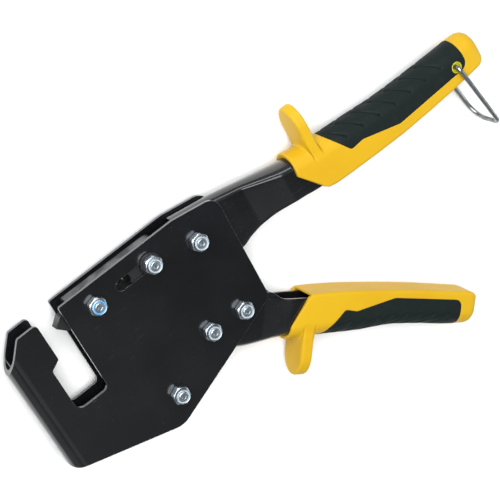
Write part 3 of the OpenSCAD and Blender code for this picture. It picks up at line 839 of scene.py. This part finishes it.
def tongue(foot, half_foot, tip):
    """Outline of a finger guard for each dome column, as (h, z): from the flank straight up and in
    to the guard's half width, then a half ellipse over its tip."""
    half, cap = GRIP_HALF_WIDTH - 0.9, 13.0
    path = np.array([[foot, half_foot], [foot + 5, half], [tip - cap, half]])
    angle = np.linspace(0, np.pi / 2, 40)[1:]
    path = np.concatenate([path, np.stack([tip - cap + cap * np.sin(angle), half * np.cos(angle)], -1)])
    near = walk(path, np.linspace(0, 1, COLUMNS["dome"] // 2 + 1))
    return np.concatenate([(near * [1, -1])[:-1], near[::-1]])[:COLUMNS["dome"]]


def guard_rows(grip, edge, root):
    """Stations over the finger guard: s, how far the section has risen to the guard's outline, and
    how far that outline is drawn in. A concave fillet, the wall, a rounded edge, and the same back."""
    rise_mm = grip.guard_tip - grip.back(sum(grip.guard) / 2)
    fillet_turn = np.radians(np.linspace(0, 80, 9))
    edge_turn = np.radians(np.linspace(0, 90, 7))
    draft = 0.5
    foot = root * (1 - math.cos(fillet_turn[-1])) / rise_mm
    wall = np.linspace(foot, 1, 14)[1:]
    parts = [(-root + root * np.sin(fillet_turn), root / rise_mm * (1 - np.cos(fillet_turn)),
              edge + 0 * fillet_turn),
             (draft * wall, wall, edge + 0 * wall),
             (draft + edge * (1 - np.cos(edge_turn))[1:], 1 + 0 * edge_turn[1:],
              edge * (1 - np.sin(edge_turn))[1:])]
    offset, rise, inset = [np.concatenate([p[k] for p in parts]) for k in range(3)]
    front, back = grip.guard[0] + offset, grip.guard[1] - offset
    middle = np.linspace(front[-1], back[-1], 4)[1:-1]
    return (np.concatenate([front, middle, back[::-1]]),
            np.concatenate([rise, np.ones(len(middle)), rise[::-1]]),
            np.concatenate([inset, np.zeros(len(middle)), inset[::-1]]))


def front_edge(grip):
    """Where the ferrule's slanted front edge lies for each column, found by going back and forth
    between the edge and the section's heights there."""
    edge_s = np.full((1, len(PART)), -10.0)
    for _ in range(4):
        edge_s = grip.front(grip_section(grip, edge_s)[0])
    return edge_s


def front_shell(grip, size, edge_s):
    """Ferrule and guard: the dome follows the guard's stations while the flank fans out from the
    slanted edge. The dome's points over the guard rise towards the guard's outline."""
    s_guard, rise, guard_inset = guard_rows(grip, size["guard_edge"], size["guard_root"])
    before, after = 6, 5
    s_after = np.linspace(s_guard[-1], SHELL_END, after + 1)[1:]
    rise = np.concatenate([np.zeros(before), rise, np.zeros(after)])[:, None]
    guard_inset = np.concatenate([np.zeros(before), guard_inset, np.zeros(after)])[:, None]
    share = np.linspace(0, 1, len(rise))[:, None]

    lip = edge_s + LIP
    approach = lip + (s_guard[0] - lip) * np.linspace(0, 1, before, endpoint=False)[:, None]
    dome_s = np.concatenate([approach, np.concatenate([s_guard, s_after])[:, None] + 0 * lip])
    fan = lip + (SHELL_END - lip) * share
    down = np.where(PART == 0, 0.0, np.where(PART == 1, ALONG, np.where(PART == 5, 1 - ALONG, 1.0)))
    hold = 1 - ease(down, 0.0, 0.35)
    s = hold * dome_s + (1 - hold) * fan
    h, z, _, _ = grip_section(grip, s)

    dome = slice(0, COLUMNS["dome"])
    dome_top = grip.back(sum(grip.guard) / 2)
    foot = dome_top - GRIP_DOME
    outline = tongue(foot, GRIP_HALF_WIDTH, grip.guard_tip)
    slope = np.gradient(outline, axis=0)
    normal = np.stack([slope[:, 1], -slope[:, 0]], -1)
    normal /= np.linalg.norm(normal, axis=1, keepdims=True)
    normal *= np.sign((normal * (outline - [foot + 8, 0])).sum(1, keepdims=True))
    fade = ease(outline[:, 0], foot, foot + 7)
    target = outline[None] - normal[None] * (guard_inset * fade[None])[..., None]
    h[:, dome] += rise * (target[..., 0] - h[:, dome])
    z[:, dome] += rise * (target[..., 1] - z[:, dome])
    up = np.clip((h[:, dome] - dome_top) / (grip.guard_tip - dome_top), 0, 1)
    s[:, dome] += grip.guard_lean * up * (rise > 0)
    return np.stack([s, h, z], -1)


def body_and_nose(grip):
    """The grip behind the guard, with the overmould's bed and the eyelets' holes sunk along the
    section's normals, and its rounded nose."""
    body_end = grip.length - NOSE
    s_body = np.arange(SHELL_END + 0.6, body_end, STATION_STEP)
    nose_turn = np.radians(np.linspace(0, 90, 16))
    s = np.concatenate([s_body, body_end + NOSE * np.sin(nose_turn)])[:, None] + np.zeros(len(PART))
    inset = np.concatenate([np.zeros(len(s_body)), NOSE * (1 - np.cos(nose_turn))])[:, None]
    h, z, nh, nz = grip_section(grip, s, inset)
    on_border = inside_distance(np.stack([s, girth(grip, s, h)], -1), soft_border(grip))
    not_under = (PART == 0) | (PART == 1) | (PART == 5)
    sink = np.where(not_under, BED_DEPTH * ease(on_border, 0.1, 1.2), 0.0)
    if grip.name == "upper":
        sink = np.maximum(sink, eyelet_pit(s, h, z, 3.6))
    return np.stack([s, h - nh * sink, z - nz * sink], -1)


def lip_and_pocket(grip, edge_s):
    """Rows from the lever's pocket out and round the ferrule's lip. The pocket is the lever's own
    section, a small gap bigger."""
    rows = []
    for depth, gap in ((24, 0.08), (14, 0.08), (6, 0.08), (0.5, 0.08), (0.15, 0.18), (0.0, 0.45)):
        lever_back, lever_open, flare, neck = grip.lever
        s = edge_s + depth
        w = lever_width(s, flare, neck) + gap
        h, z, _, _ = section(smooth(s, lever_back) + gap, smooth(s, lever_open) - 1 - gap,
                             w, w * DOME_SHARE, 0.4)
        rows.append(np.stack([s, h, z], -1)[0])
    for turn in np.radians([0, 22, 45, 67]):
        s = edge_s + (LIP - LIP * math.cos(turn))
        inset = LIP * (1 - math.sin(turn))
        h, z, nh, nz = grip_section(grip, s)
        rows.append(np.stack([s, h - nh * inset, z - nz * inset], -1)[0])
    return np.stack(rows)


def grip_mesh(grip, size):
    """The plastic of a grip as one closed surface. Each station is a closed section; the stations run
    out of the lever's pocket, round the ferrule's lip, over the guard, along the grip and round its
    nose, where they shrink towards a slightly crowned middle."""
    edge_s = front_edge(grip)
    body = body_and_nose(grip)
    centre = body[-1].mean(0)
    cap = [centre + (body[-1] - centre) * k + [NOSE_CROWN * (1 - k * k), 0, 0]
           for k in (0.75, 0.5, 0.25)]
    rows = np.concatenate([lip_and_pocket(grip, edge_s), front_shell(grip, size, edge_s), body, cap])
    points, faces = closed_tube(rows, rows[0].mean(0), centre + [NOSE_CROWN, 0, 0])
    return mesh_from(f"{grip.name}_grip_moulding", grip.to_row(points), faces, 50.0)


def soft_mesh(grip, size):
    """The soft overmould as one closed shell. Its patch over the back is a Coons patch of (s, girth)
    between the border's front, lower and rear edges and the middle of the back, mirrored to the far
    side. The outside stands proud, rounds down to the border and carries the grip grooves."""
    border = soft_border(grip)
    length = np.concatenate([[0], np.cumsum(np.linalg.norm(np.diff(border, axis=0), axis=1))])
    lobe, heel = [np.argmin(np.hypot(border[:, 0] - s, border[:, 1] - girth(grip, s, h)))
                  for s, h, _ in (grip.border[2], grip.border[-2])]
    def packed(count, total):
        """Fractions of an edge, close together near its ends and even between."""
        near = np.array([0, 0.12, 0.28, 0.5, 0.8, 1.15]) / total
        middle = np.linspace(near[-1], 1 - near[-1], count)
        return np.concatenate([near[:-1], middle, 1 - near[:-1][::-1]])
    along = packed(190, length[-1] * 0.7)
    front, lower, rear = border[:lobe + 1], border[lobe:heel + 1], border[heel:]
    across = packed(110, 46.0)
    v = np.abs(2 * across - 1)
    side = np.where(across < 0.5, -1.0, 1.0)
    a = walk(front, v)[None]
    b = walk(rear[::-1], v)[None]
    low = walk(lower, along)[:, None]
    top = np.stack([front[0, 0] + (rear[-1, 0] - front[0, 0]) * along, 0 * along], -1)[:, None]
    u, w = along[:, None, None], v[None, :, None]
    corners = (1 - u) * ((1 - w) * front[0] + w * front[-1]) + u * (w * rear[0] + (1 - w) * rear[-1])
    patch = (1 - w) * top + w * low + (1 - u) * a + u * b - corners
    s, g = patch[..., 0], patch[..., 1]
    over = np.minimum(g / DOME_RADIUS, np.pi / 2)
    flank = np.maximum(g - DOME_RADIUS * np.pi / 2, 0)
    hi, half = grip.back(s), grip_width(s)
    h = hi - GRIP_DOME + GRIP_DOME * np.cos(over) - flank
    z = half * np.sin(over)
    nh, nz = half * np.cos(over), GRIP_DOME * np.sin(over)
    norm = np.hypot(nh, nz)
    nh, nz = nh / norm, nz / norm

    inside = np.maximum(inside_distance(patch, border), 0)
    inside[[0, -1]] = 0
    inside[:, [0, -1]] = 0
    rolled = (1 - np.clip(inside / ROLL_WIDTH, 0, 1)) ** 2.6
    proud = size["soft_proud"] - (size["soft_proud"] + ROLL_DEPTH) * rolled
    proud = proud - groove_depth(grip, s, g, size) * ease(inside, 0.6, 2.5)
    pit = eyelet_pit(s, h, z, 3.2) if grip.name == "upper" else 0.0
    proud = np.where(pit > 0, np.minimum(proud, size["soft_proud"] - pit), proud)
    under = np.minimum(-1.2, proud - 0.35)
    def skin(offset):
        return np.stack([s, h + nh * offset, (z + nz * offset) * side], -1)
    outer, inner = skin(proud), skin(under)
    rows, cols = s.shape
    points = np.concatenate([outer.reshape(-1, 3), inner.reshape(-1, 3)])
    top_faces = grid_quads(rows, cols, wrap_cols=False)
    under_faces = top_faces[:, ::-1] + rows * cols
    rim = np.concatenate([np.arange(cols), np.arange(2, rows) * cols - 1,
                          rows * cols - 1 - np.arange(cols), np.arange(rows - 2, 0, -1) * cols])
    after = np.roll(rim, -1)
    wall = np.stack([after, rim, rim + rows * cols, after + rows * cols], -1)
    faces = [top_faces, under_faces, wall]
    return mesh_from(f"{grip.name}_soft_overmould", grip.to_row(points), faces, 60.0)


def groove_depth(grip, s, g, size):
    """Grip grooves: each sweeps back from the middle of the back, s = tick - sweep (1 - g / end)^1.3,
    to a rounded end, and its depth falls off as the cosine of the distance from its line."""
    end, half = grip.tick_girth, size["groove_width"]
    share = np.clip(g / end, 0, 1)
    slope = np.abs(1.3 * grip.sweep / end * (1 - share) ** 0.3)
    depth = np.zeros_like(s)
    for tick in grip.ticks:
        line = tick - grip.sweep * (1 - share) ** 1.3
        away = np.hypot((s - line) / np.sqrt(1 + slope**2), np.maximum(g - end, 0))
        width = half * (1.1 - 0.45 * share)
        ahead = np.where(s > line, 0.55, 1.6)
        depth = np.maximum(depth, 0.5 + 0.5 * np.cos(np.pi * np.clip(away / (width * ahead), 0, 1)))
    return depth * size["groove_depth"]


# ---------- Fasteners ----------

HEX = 10.0              # across flats
BOLT_HEAD = 4.0
THREAD = 8.0            # threaded length
SHANK, BORE = 3.0, 3.05
DEEP = 2 * HEX          # a radius so large that the hexagon's flats decide
SIDES_ROUND, SIDES_HEX = 72, 96


def hexagon(corner_angle):
    """Radius of a hexagon at angle a, cut by the turned chamfer r: the smaller of (flats / 2) /
    cos(angle from the nearest flat) and r."""
    def radius(angle, r, z):
        near = np.mod(angle - corner_angle, math.radians(60)) - math.radians(30)
        return np.minimum(HEX / 2 / np.cos(near), r)
    return radius


def node_points(node):
    """The vertices of a CAD node in metres."""
    mesh = frame["nodes"][node].data
    co = np.zeros(len(mesh.vertices) * 3)
    mesh.vertices.foreach_get("co", co)
    return co.reshape(-1, 3)


def corner_angle(node, centre):
    """Direction of a hexagon's corner in a CAD node: that of its vertex farthest from the axis."""
    away = node_points(node)[:, :2] - centre[:2]
    far = away[np.argmax(np.hypot(away[:, 0], away[:, 1]))]
    return math.atan2(far[1], far[0])


def node_axis(node):
    """Middle of a CAD node's footprint in metres, and its lowest and highest z in millimetres."""
    low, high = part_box(node)
    centre = np.array([(low.x + high.x) / 2, (low.y + high.y) / 2, 0.0])
    return centre, low.z / MM, high.z / MM


def turned_piece(name, node, profile, material, sides=SIDES_ROUND, radius_at=None, sharp=35.0):
    """A lathe piece about a CAD node's own axis; its profile is in millimetres, z in the row frame."""
    centre, _, _ = node_axis(node)
    points, faces = lathe(np.asarray(profile, float), centre / MM, sides, radius_at)
    return add_piece(mesh_from(name, points * MM, faces, sharp), material, node)


def nut_profile(low, high):
    """Lock nut: washer face, hexagon with turned chamfers, collar, rolled lip, ring groove and bore."""
    collar = low + (high - low) * 0.7
    return [(BORE + 0.25, low), (4.75, low), (4.9, low + 0.12), (5.45, low + 0.42), (DEEP, low + 0.75),
            (DEEP, collar - 0.75), (5.45, collar - 0.42), (4.95, collar - 0.1), (4.7, collar + 0.02),
            (4.6, collar + 0.2), (4.6, high - 0.75), (4.5, high - 0.35), (4.28, high - 0.08),
            (4.0, high), (3.84, high - 0.08), (3.78, high - 0.3), (4.0, collar + 0.25),
            (BORE + 0.2, collar + 0.2), (BORE, collar), (BORE, low + 0.2)]


def ring_profile(low, high):
    return [(BORE + 0.02, low), (3.9, low), (3.92, high - 0.25), (3.8, high - 0.06), (3.6, high),
            (BORE + 0.25, high), (BORE + 0.05, high - 0.12)]


def bolt_profile(low, high, pitch):
    """Hexagon bolt from the face of its head to its tip: a turned chamfer over the hexagon, the
    shank, the thread's stretch in eight rows a turn, and a chamfered tip."""
    neck = low + BOLT_HEAD
    rows = [(0, low), (3.4, low), (3.6, low + 0.1), (4.55, low), (4.7, low + 0.05), (5.4, low + 0.42),
            (DEEP, low + 0.78), (DEEP, neck - 0.2), (4.9, neck), (SHANK, neck)]
    rows += [(SHANK, z) for z in np.arange(high - THREAD, high - 0.55, pitch / 8)]
    rows += [(SHANK - 0.02, high - 0.5), (SHANK - 0.35, high - 0.12), (SHANK - 0.55, high), (1.4, high),
             (1.1, high - 0.12), (0, high - 0.14)]
    return rows


def threaded(corner, start, high, pitch):
    """The hexagon below, and a rolled thread near the tip: a sine of the turn less the climb."""
    flats = hexagon(corner)
    def radius(angle, r, z):
        r = flats(angle, r, z)
        wave = 0.5 - 0.5 * np.cos(angle - 2 * np.pi * z / pitch)
        on = (z > start) & (z < high - 0.52)
        return np.where(on, r - 0.32 * wave, r)
    return radius


# ---------- Operators ----------

class CRIMPER_OT_head(bpy.types.Operator):
    """Folded head: its cut edges are rounded, lightly worn and lightened as a painted highlight"""
    bl_idname = "crimper.head"
    bl_label = "Folded head"

    def execute(self, context):
        softened_copy("head_frame", "folded_head", finish("head_finish"),
                      sizes()["plate_edge"] * MM, finish("edge_finish"))
        return {"FINISHED"}


class CRIMPER_OT_punch(bpy.types.Operator):
    """Punch slide, its blade, cheeks, pin and rivets, and the washers under its bolt"""
    bl_idname = "crimper.punch"
    bl_label = "Punch slide"

    def execute(self, context):
        edge = sizes()["part_edge"] * MM
        for node in ("punch_slide", "slide_cheek_near", "slide_cheek_far"):
            softened_copy(node, node + "_plate", finish("slide_finish"), edge)
        softened_copy("punch_blade", "punch_blade_ground", finish("blade_finish"), edge)
        for node in ("punch_pin", "slide_rivets"):
            softened_copy(node, node + "_peened", finish("turned_finish"), edge * 0.6)
        for node in ("slide_washer_near", "slide_washer_far"):
            _, low, high = node_axis(node)
            profile = [(BORE, low), (6.2, low), (6.4, low + 0.2), (6.4, high - 0.3), (6.1, high),
                       (BORE + 0.15, high), (BORE, high - 0.15)]
            turned_piece(node + "_disc", node, profile, finish("washer_finish"))
        return {"FINISHED"}


class CRIMPER_OT_turnings(bpy.types.Operator):
    """Bushes, sleeve, spacers and the drive pin inside the head"""
    bl_idname = "crimper.turnings"
    bl_label = "Bushes and pins"

    def execute(self, context):
        for node in ("guide_sleeve", "pivot_bush", "frame_spacer", "handle_spacer_front",
                     "handle_spacer_rear", "drive_pin"):
            softened_copy(node, node + "_turned", finish("turned_finish"), sizes()["part_edge"] * MM)
        return {"FINISHED"}


class CRIMPER_OT_spring(bpy.types.Operator):
    """Return spring: a coil of round wire filling the CAD spring's box"""
    bl_idname = "crimper.spring"
    bl_label = "Return spring"

    def execute(self, context):
        low, high = [np.array(corner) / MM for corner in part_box("return_spring")]
        wire, turns, steps_a_turn = 0.4, 7, 36
        radius = (high[2] - low[2]) / 2 - wire
        axis = np.array([0, (low[1] + high[1]) / 2, (low[2] + high[2]) / 2])
        t = np.linspace(0, 1, turns * steps_a_turn + 1)
        climb = ease(t, -0.2, 1.2)
        climb = (climb - climb[0]) / (climb[-1] - climb[0])
        length = high[0] - low[0] - 2 * wire
        angle = 2 * np.pi * turns * t
        around = np.stack([0 * t, np.cos(angle), np.sin(angle)], -1)
        path = axis + radius * around
        path[:, 0] = low[0] + wire + length * climb
        points, faces = tube(path, around, wire, 10)
        spring = add_piece(mesh_from("return_spring_coil", points * MM, faces), finish("spring_finish"),
                           "return_spring")
        travel = JOINTS["punch_travel"]["range_m"][1] / MM
        1 - travel / (high[0] - low[0])
        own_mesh(spring)
        return {"FINISHED"}


class CRIMPER_OT_levers(bpy.types.Operator):
    """Pressed lever channels, and the upper one's two ears"""
    bl_idname = "crimper.levers"
    bl_label = "Pressed levers"

    def execute(self, context):
        edge = sizes()["lever_edge"]
        paint = finish("lever_finish")
        s = spread([(-6, 30), (38, 40), (66, 30), (104, 0)])
        grid, count = channel_grid(s, UPPER_BACK, UPPER_OPEN, UPPER_FLARE, 5.8, edge)
        add_piece(lever_mesh("upper_lever_pressing", grid, count, place), paint, "upper_lever")
        for label, low, high in (("near", 3.9, 5.72), ("far", -5.72, -3.9)):
            add_piece(ear_mesh(f"upper_lever_ear_{label}", low, high, 0.2), paint, "upper_lever")
        s = spread([(-75, 60), (-29, 32), (-13, 10), (18, 0)])
        grid, count = channel_grid(s, LOWER_BACK, LOWER_OPEN, LOWER_FLARE, 6.0, edge)
        mesh = lever_mesh("lower_lever_pressing", grid, count, LOWER_GRIP.to_row)
        add_piece(mesh, paint, "lower_lever")
        return {"FINISHED"}


class CRIMPER_OT_grips(bpy.types.Operator):
    """Moulded grips with their ferrules and finger guards"""
    bl_idname = "crimper.grips"
    bl_label = "Moulded grips"

    def execute(self, context):
        for grip in (UPPER_GRIP, LOWER_GRIP):
            add_piece(grip_mesh(grip, sizes()), finish("grip_finish"), f"{grip.name}_grip")
        return {"FINISHED"}


class CRIMPER_OT_overmoulds(bpy.types.Operator):
    """Soft overmoulds with their grip grooves"""
    bl_idname = "crimper.overmoulds"
    bl_label = "Soft overmoulds"

    def execute(self, context):
        for grip in (UPPER_GRIP, LOWER_GRIP):
            add_piece(soft_mesh(grip, sizes()), finish("soft_finish"), f"{grip.name}_overmould")
        return {"FINISHED"}


FASTENERS = (("guide", ""), ("slide", ""), ("pivot", ""), ("handle", "_front"), ("handle", "_rear"),
             ("frame", ""))


class CRIMPER_OT_fasteners(bpy.types.Operator):
    """Bolts with rolled threads, lock nuts and their nylon rings"""
    bl_idname = "crimper.fasteners"
    bl_label = "Fasteners"

    def execute(self, context):
        zinc = finish("zinc_finish")
        pitch = sizes()["thread_pitch"]
        for stem, end in FASTENERS:
            bolt, nut, ring = f"{stem}_bolt{end}", f"{stem}_nut{end}", f"{stem}_nut_ring{end}"
            centre, low, high = node_axis(nut)
            turned_piece(nut + "_locking", nut, nut_profile(low, high), zinc, SIDES_HEX,
                         hexagon(corner_angle(nut, centre)), 30.0)
            centre, low, high = node_axis(ring)
            material = finish("blue_finish" if stem == "guide" else "clear_finish")
            turned_piece(ring + "_nylon", ring, ring_profile(low, high), material)
            centre, low, high = node_axis(bolt)
            radius_at = threaded(corner_angle(bolt, centre), high - THREAD, high, pitch)
            turned_piece(bolt + "_threaded", bolt, bolt_profile(low, high, pitch), zinc, SIDES_HEX,
                         radius_at, 30.0)
        return {"FINISHED"}


class CRIMPER_OT_bail(bpy.types.Operator):
    """Wire bail and the two eyelets that it turns in"""
    bl_idname = "crimper.bail"
    bl_label = "Wire bail"

    def execute(self, context):
        for node, side in (("eyelet_near", 1), ("eyelet_far", -1)):
            _, low, high = node_axis(node)
            mouth, back = (high, low) if side > 0 else (low, high)
            profile = [(1.45, back), (3.35, back), (3.5, back + side * 0.15), (3.5, mouth - side * 0.3),
                       (3.4, mouth - side * 0.08), (3.2, mouth), (2.98, mouth - side * 0.06),
                       (2.78, mouth - side * 0.4), (2.75, mouth - side * 1.9), (2.6, mouth - side * 2.0),
                       (1.6, mouth - side * 2.0), (1.45, mouth - side * 2.15)]
            turned_piece(node + "_ring", node, profile, finish("eyelet_finish"))
        hinge = np.array(JOINTS["bail_swing"]["pos_m"])
        co = node_points("wire_bail") - hinge
        lean = np.array([*co[:, :2].mean(0), 0.0])
        lean /= np.linalg.norm(lean)
        wire = 1.4
        half = co[:, 2].max() / MM - wire
        reach = (co @ lean).max() / MM - wire
        inner, elbow, near, far = 5.8, 2.6, 4.5, 10.0
        near_side = [(inner, 0, 0), (half, 0, elbow), (half, reach, near), (0, reach, 0)]
        far_side = [(0, reach, 0), (-half, reach, far), (-half, 0, elbow), (-inner, 0, 0)]
        path = np.concatenate([rounded(near_side, 14), rounded(far_side, 14)[1:]])
        path = walk(path, np.linspace(0, 1, 260))
        across = np.array([0.0, 0.0, 1.0])
        normal = np.cross(across, lean)
        line = path[:, :1] * across + path[:, 1:] * lean
        points, faces = tube(line, np.repeat(normal[None], len(line), 0), wire, 24)
        mesh = mesh_from("wire_bail_bent", hinge + points * MM, faces)
        add_piece(mesh, finish("wire_finish"), "wire_bail")
        return {"FINISHED"}


class CRIMPER_OT_stage(bpy.types.Operator):
    """Pale floor, soft studio lights and the camera"""
    bl_idname = "crimper.stage"
    bl_label = "Stage"

    def execute(self, context):
        scene = context.scene
        scene.view_settings.view_transform = "Standard"
        floor_mesh = bpy.data.meshes.new("floor")
        span = 6.0
        floor_mesh.from_pydata([(-span, -span, -0.0002), (span, -span, -0.0002), (span, span, -0.0002),
                                (-span, span, -0.0002)], [], [(0, 1, 2, 3)])
        floor = bpy.data.objects.new("floor", floor_mesh)
        scene.collection.objects.link(floor)
        g = Graph("pale_floor")
        mottled = g.colours(g.noise(0.4), (0.9, 0.9, 0.9, 1), (0.915, 0.915, 0.915, 1))
        floor_mesh.materials.append(g.surface(Base_Color=mottled, Roughness=0.9, Specular_IOR_Level=0.2))

        add_camera(scene, place([23.84, -24.77, 8.0]), azimuth=-150.4, elevation=58.36, roll=116.16,
                   distance=1.0166, lens=129.6)
        for name, azimuth, elevation, distance, size, power, colour in (
                ("key", -150, 62, 1.5, (1.5, 1.5), 41, (1.0, 1.0, 1.0)),
                ("strip", 163, 36, 1.2, (1.2, 0.12), 3.5, (0.93, 0.97, 1.0)),
                ("rim", 60, 28, 1.4, (0.5, 0.9), 4, (1.0, 1.0, 1.0))):
            add_softbox(scene, name, azimuth, elevation, distance, size, power, colour)
        w = Graph("studio", "worlds", "OutputWorld")
        towards = w.node("TexCoord", out="Generated")
        height = w.node("SeparateXYZ", None, {"Vector": towards}, out="Z")
        low_side = w.node("VectorMath", {"operation": "DOT_PRODUCT"},
                          {0: towards, 1: (-0.595, -0.770, -0.231)}, out="Value")
        overhead = w.between(height, 0.76, 0.9) * w.between(low_side, -0.1, 0.35, 0.0, 0.6)
        brightness = w.between(height, 0.6, 0.86, 0.36, 0.02) + overhead
        scene.world = w.finished(w.node("Background", None, {"Color": (0.95, 1.0, 0.97, 1.0),
                                                            "Strength": brightness}))
        return {"FINISHED"}


def direction(azimuth, elevation):
    """Unit vector towards a place round the tool: azimuth 0 is in front, at -Y, and 90 is at +X."""
    a, e = math.radians(azimuth), math.radians(elevation)
    return np.array([math.sin(a) * math.cos(e), -math.cos(a) * math.cos(e), math.sin(e)])


def add_camera(scene, aim, azimuth, elevation, roll, distance, lens):
    data = bpy.data.cameras.new("view")
    data.lens = lens
    data.sensor_width = 36.0
    data.clip_start, data.clip_end = 0.05, 20.0
    camera = bpy.data.objects.new("view", data)
    scene.collection.objects.link(camera)
    back = Vector(direction(azimuth, elevation))
    turn = (-back).to_track_quat("-Z", "Y").to_matrix() @ Matrix.Rotation(math.radians(roll), 3, "Z")
    camera.matrix_world = Matrix.Translation(Vector(aim) + back * distance) @ turn.to_4x4()
    scene.camera = camera


def add_softbox(scene, name, azimuth, elevation, distance, size, power, colour):
    data = bpy.data.lights.new(name, "AREA")
    data.shape = "RECTANGLE"
    data.size, data.size_y = size
    data.energy = power
    data.color = colour
    light = bpy.data.objects.new(name, data)
    scene.collection.objects.link(light)
    towards = Vector(direction(azimuth, elevation))
    centre = (Vector(CAD_BOX[0]) + Vector(CAD_BOX[1])) / 2
    light.location = centre + towards * distance
    light.rotation_euler = towards.to_track_quat("Z", "Y").to_euler()


class CRIMPER_PT_panel(bpy.types.Panel):
    """Sidebar panel with the settings and the operators in building order"""
    bl_idname = "CRIMPER_PT_panel"
    bl_label = "Stud Crimper"
    bl_space_type = "VIEW_3D"
    bl_region_type = "UI"
    bl_category = "Crimper"

    def draw(self, context):
        for heading, group in (("Sizes", context.scene.crimper_sizes),
                               ("Colours", context.scene.crimper_colours)):
            box = self.layout.box()
            box.label(text=heading)
            for name in type(group).__annotations__:
                box.prop(group, name)
        column = self.layout.column(align=True)
        for operator in STEPS:
            column.operator(operator.bl_idname)


STEPS = (CRIMPER_OT_stage, CRIMPER_OT_head, CRIMPER_OT_punch, CRIMPER_OT_turnings, CRIMPER_OT_spring,
         CRIMPER_OT_levers, CRIMPER_OT_grips, CRIMPER_OT_overmoulds, CRIMPER_OT_fasteners, CRIMPER_OT_bail)
CLASSES = (CrimperSizes, CrimperColours, *STEPS, CRIMPER_PT_panel)


def register():
    for each in CLASSES:
        bpy.utils.register_class(each)
    bpy.types.Scene.crimper_sizes = bpy.props.PointerProperty(type=CrimperSizes)
    bpy.types.Scene.crimper_colours = bpy.props.PointerProperty(type=CrimperColours)


def unregister():
    del bpy.types.Scene.crimper_sizes
    del bpy.types.Scene.crimper_colours
    for each in reversed(CLASSES):
        bpy.utils.unregister_class(each)


def main():
    register()
    for step in STEPS:
        group, name = step.bl_idname.split(".")
        getattr(getattr(bpy.ops, group), name)()


if __name__ == "__main__":
    main()
